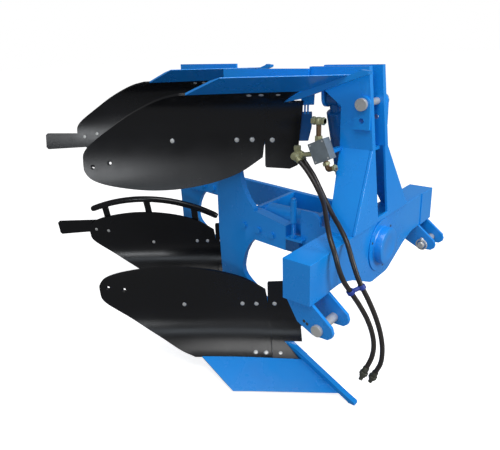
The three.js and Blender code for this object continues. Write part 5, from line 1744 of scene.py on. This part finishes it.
@dataclass
class Rails:
    """Rails, cross member and legs with their fasteners."""

    front_faces: Pair = (100.0, 49.4)
    rear_faces: Pair = (125.6, 75.0)
    bolt_places: tuple[Pair, ...] = ((-515.0, -16.0), (-440.0, -23.2), (-370.0, -30.0))
    washer: float = 16.5
    washer_bore: float = 9.0
    washer_thick: float = 2.4

    def build(self) -> None:
        """Builds the frame's long pieces."""
        for node in ("near_rail", "far_rail", "cross_member"):
            refine(node, BLUE, 2.0)
        for node in ("leg_front", "leg_rear"):
            refine(node, BLUE, 1.0)
        self.washers()

    def washers(self) -> None:
        """Builds the washers under the frame bolts' heads and nuts."""
        for place, (right, left), offset in (
            ("front", self.front_faces, (0, 0, 0)),
            ("rear", self.rear_faces, REAR_STEP),
        ):
            rings = []
            spans = ((right - 0.2, right + self.washer_thick), (left - self.washer_thick, left + 0.2))
            for y, z in self.bolt_places:
                for low, high in spans:
                    rings.append(ring((low, y, z), (high, y, z), self.washer, self.washer_bore))
            add_piece(f"frame_washers_{place}", together(rings).moved(offset), BLUE, Body.FRAME)


# Studio


@dataclass(frozen=True)
class Lamp:
    """Rectangular lamp: its place in millimetres, its size in metres and its light."""

    name: str
    spot: Point
    size: Pair
    watts: float
    colour: Point = (1.0, 1.0, 1.0)

    def hang(self, aim: Point) -> None:
        """Adds the lamp, turned towards a point of the machine.

        Args:
            aim: The point in machine millimetres.
        """
        data = bpy.data.lights.new(self.name, "AREA")
        data.shape = "RECTANGLE"
        data.size, data.size_y = self.size
        data.energy = self.watts
        data.color = self.colour
        lamp = bpy.data.objects.new(self.name, data)
        bpy.context.scene.collection.objects.link(lamp)
        lamp.location = ORIGIN + np.array(self.spot) * MM
        target = Vector((ORIGIN + np.array(aim) * MM).tolist())
        lamp.rotation_mode = "QUATERNION"
        lamp.rotation_quaternion = (target - lamp.location).to_track_quat("-Z", "Y")


@dataclass
class Studio:
    """Camera, floor, sky and lamps."""

    eye: Point = (1590.3, 743.1, 720.7)
    yaw: float = 222.92
    pitch: float = 17.12
    roll: float = -2.64
    focal: float = 488.5
    middle: Pair = (221.3, 195.0)
    image: Pair = (500.0, 450.0)
    sky: float = 0.36
    gleam: float = 0.22
    bounce: float = 0.3
    floor_white: float = 0.86
    floor_glow: float = 0.74
    floor_reach: float = 40.0
    floor_height: float = -0.001
    aim: Point = (0.0, -600.0, 0.0)
    hung: tuple[Lamp, ...] = (
        Lamp("key", (1100, 700, 3300), (2.2, 2.2), 72.0),
        Lamp("front", (-900, 4300, 1500), (2.4, 1.6), 115.0),
        Lamp("tail_gleam", (7480, 2098, 1393), (1.3, 1.3), 62.0, (0.94, 0.97, 1.0)),
        Lamp("board_gleam", (3787, 1300, 2030), (2.4, 0.7), 15.0, (0.8, 0.9, 1.0)),
    )

    def build(self) -> None:
        """Builds the studio."""
        self.camera()
        self.floor()
        self.world()
        for lamp in self.hung:
            lamp.hang(self.aim)
        bpy.context.scene.view_settings.view_transform = "Standard"

    def camera(self) -> None:
        """Places the camera where the photograph was taken from."""
        yaw, pitch, roll = (math.radians(v) for v in (self.yaw, self.pitch, self.roll))
        ahead = Vector((math.cos(pitch) * math.cos(yaw), math.cos(pitch) * math.sin(yaw), -math.sin(pitch)))
        right = ahead.cross(Vector((0, 0, 1))).normalized()
        up = right.cross(ahead)
        side = right * math.cos(roll) + up * math.sin(roll)
        top = up * math.cos(roll) - right * math.sin(roll)
        data = bpy.data.cameras.new("camera")
        camera = bpy.data.objects.new("camera", data)
        bpy.context.scene.collection.objects.link(camera)
        turn = Matrix((side, top, -ahead)).transposed().to_4x4()
        spot = ORIGIN + np.array(self.eye) * MM
        camera.matrix_world = Matrix.Translation(Vector(spot.tolist())) @ turn
        width, height = self.image
        data.sensor_width = 36.0
        data.lens = self.focal / width * data.sensor_width
        data.shift_x = (width / 2 - self.middle[0]) / width
        data.shift_y = -(height / 2 - self.middle[1]) / width
        data.clip_end = 100.0
        bpy.context.scene.camera = camera

    def floor(self) -> None:
        """Lays a white floor that keeps the machine's shadow."""
        mesh = bpy.data.meshes.new("floor")
        reach, low = self.floor_reach, self.floor_height
        corners = [(-reach, -reach, low), (reach, -reach, low), (reach, reach, low), (-reach, reach, low)]
        mesh.from_pydata(corners, [], [(0, 1, 2, 3)])
        floor = bpy.data.objects.new("floor", mesh)
        bpy.context.scene.collection.objects.link(floor)
        material = bpy.data.materials.new("floor_white")
        material.use_nodes = True
        graph = Graph(material.node_tree)
        shader = material.node_tree.nodes["Principled BSDF"]
        seen = graph.add("LightPath").outputs["Is Camera Ray"]
        white = graph.add("MapRange", {"Value": seen, "To Min": self.bounce, "To Max": self.floor_white})
        glow = graph.add("MapRange", {"Value": seen, "To Min": 0.0, "To Max": self.floor_glow})
        light = graph.add("Emission", {"Strength": glow.outputs["Result"]})
        colour = white.outputs["Result"]
        graph.feed(shader, {"Roughness": 0.9, "Specular IOR Level": 0.0, "Base Color": colour})
        total = graph.add("AddShader", {0: shader.outputs[0], 1: light.outputs[0]})
        graph.feed(material.node_tree.nodes["Material Output"], {"Surface": total.outputs[0]})
        mesh.materials.append(material)

    def world(self) -> None:
        """Makes a sky that is white to the eye, and softer in reflections and as light."""
        world = bpy.data.worlds.new("sky")
        bpy.context.scene.world = world
        world.use_nodes = True
        graph = Graph(world.node_tree)
        rays = graph.add("LightPath").outputs
        either = {0: rays["Is Camera Ray"], 1: rays["Is Transmission Ray"]}
        seen = graph.add("Math", either, operation="MAXIMUM").outputs[0]
        ends = {"Value": rays["Is Glossy Ray"], "To Min": self.sky, "To Max": self.gleam}
        softer = graph.add("MapRange", ends).outputs["Result"]
        strength = graph.add("MapRange", {"Value": seen, "To Min": softer, "To Max": 1.0})
        back = world.node_tree.nodes["Background"]
        graph.feed(back, {"Color": (1, 1, 1, 1), "Strength": strength.outputs["Result"]})


def main() -> None:
    """Builds the studio and every sub-assembly in order."""
    logging.basicConfig(level=logging.INFO, format="%(name)s: %(message)s")
    Studio().build()
    HoseSet().build()
    Headstock().build()
    TurnoverCylinder().build()
    Valve().build()
    Yoke().build()
    Rails().build()
    for place, offset in (("front", (0.0, 0.0, 0.0)), ("rear", REAR_STEP)):
        for level in Level:
            PloughBody(place, level, offset).build()
    for level in Level:
        TailSet(level).build()


if __name__ == "__main__":
    main()
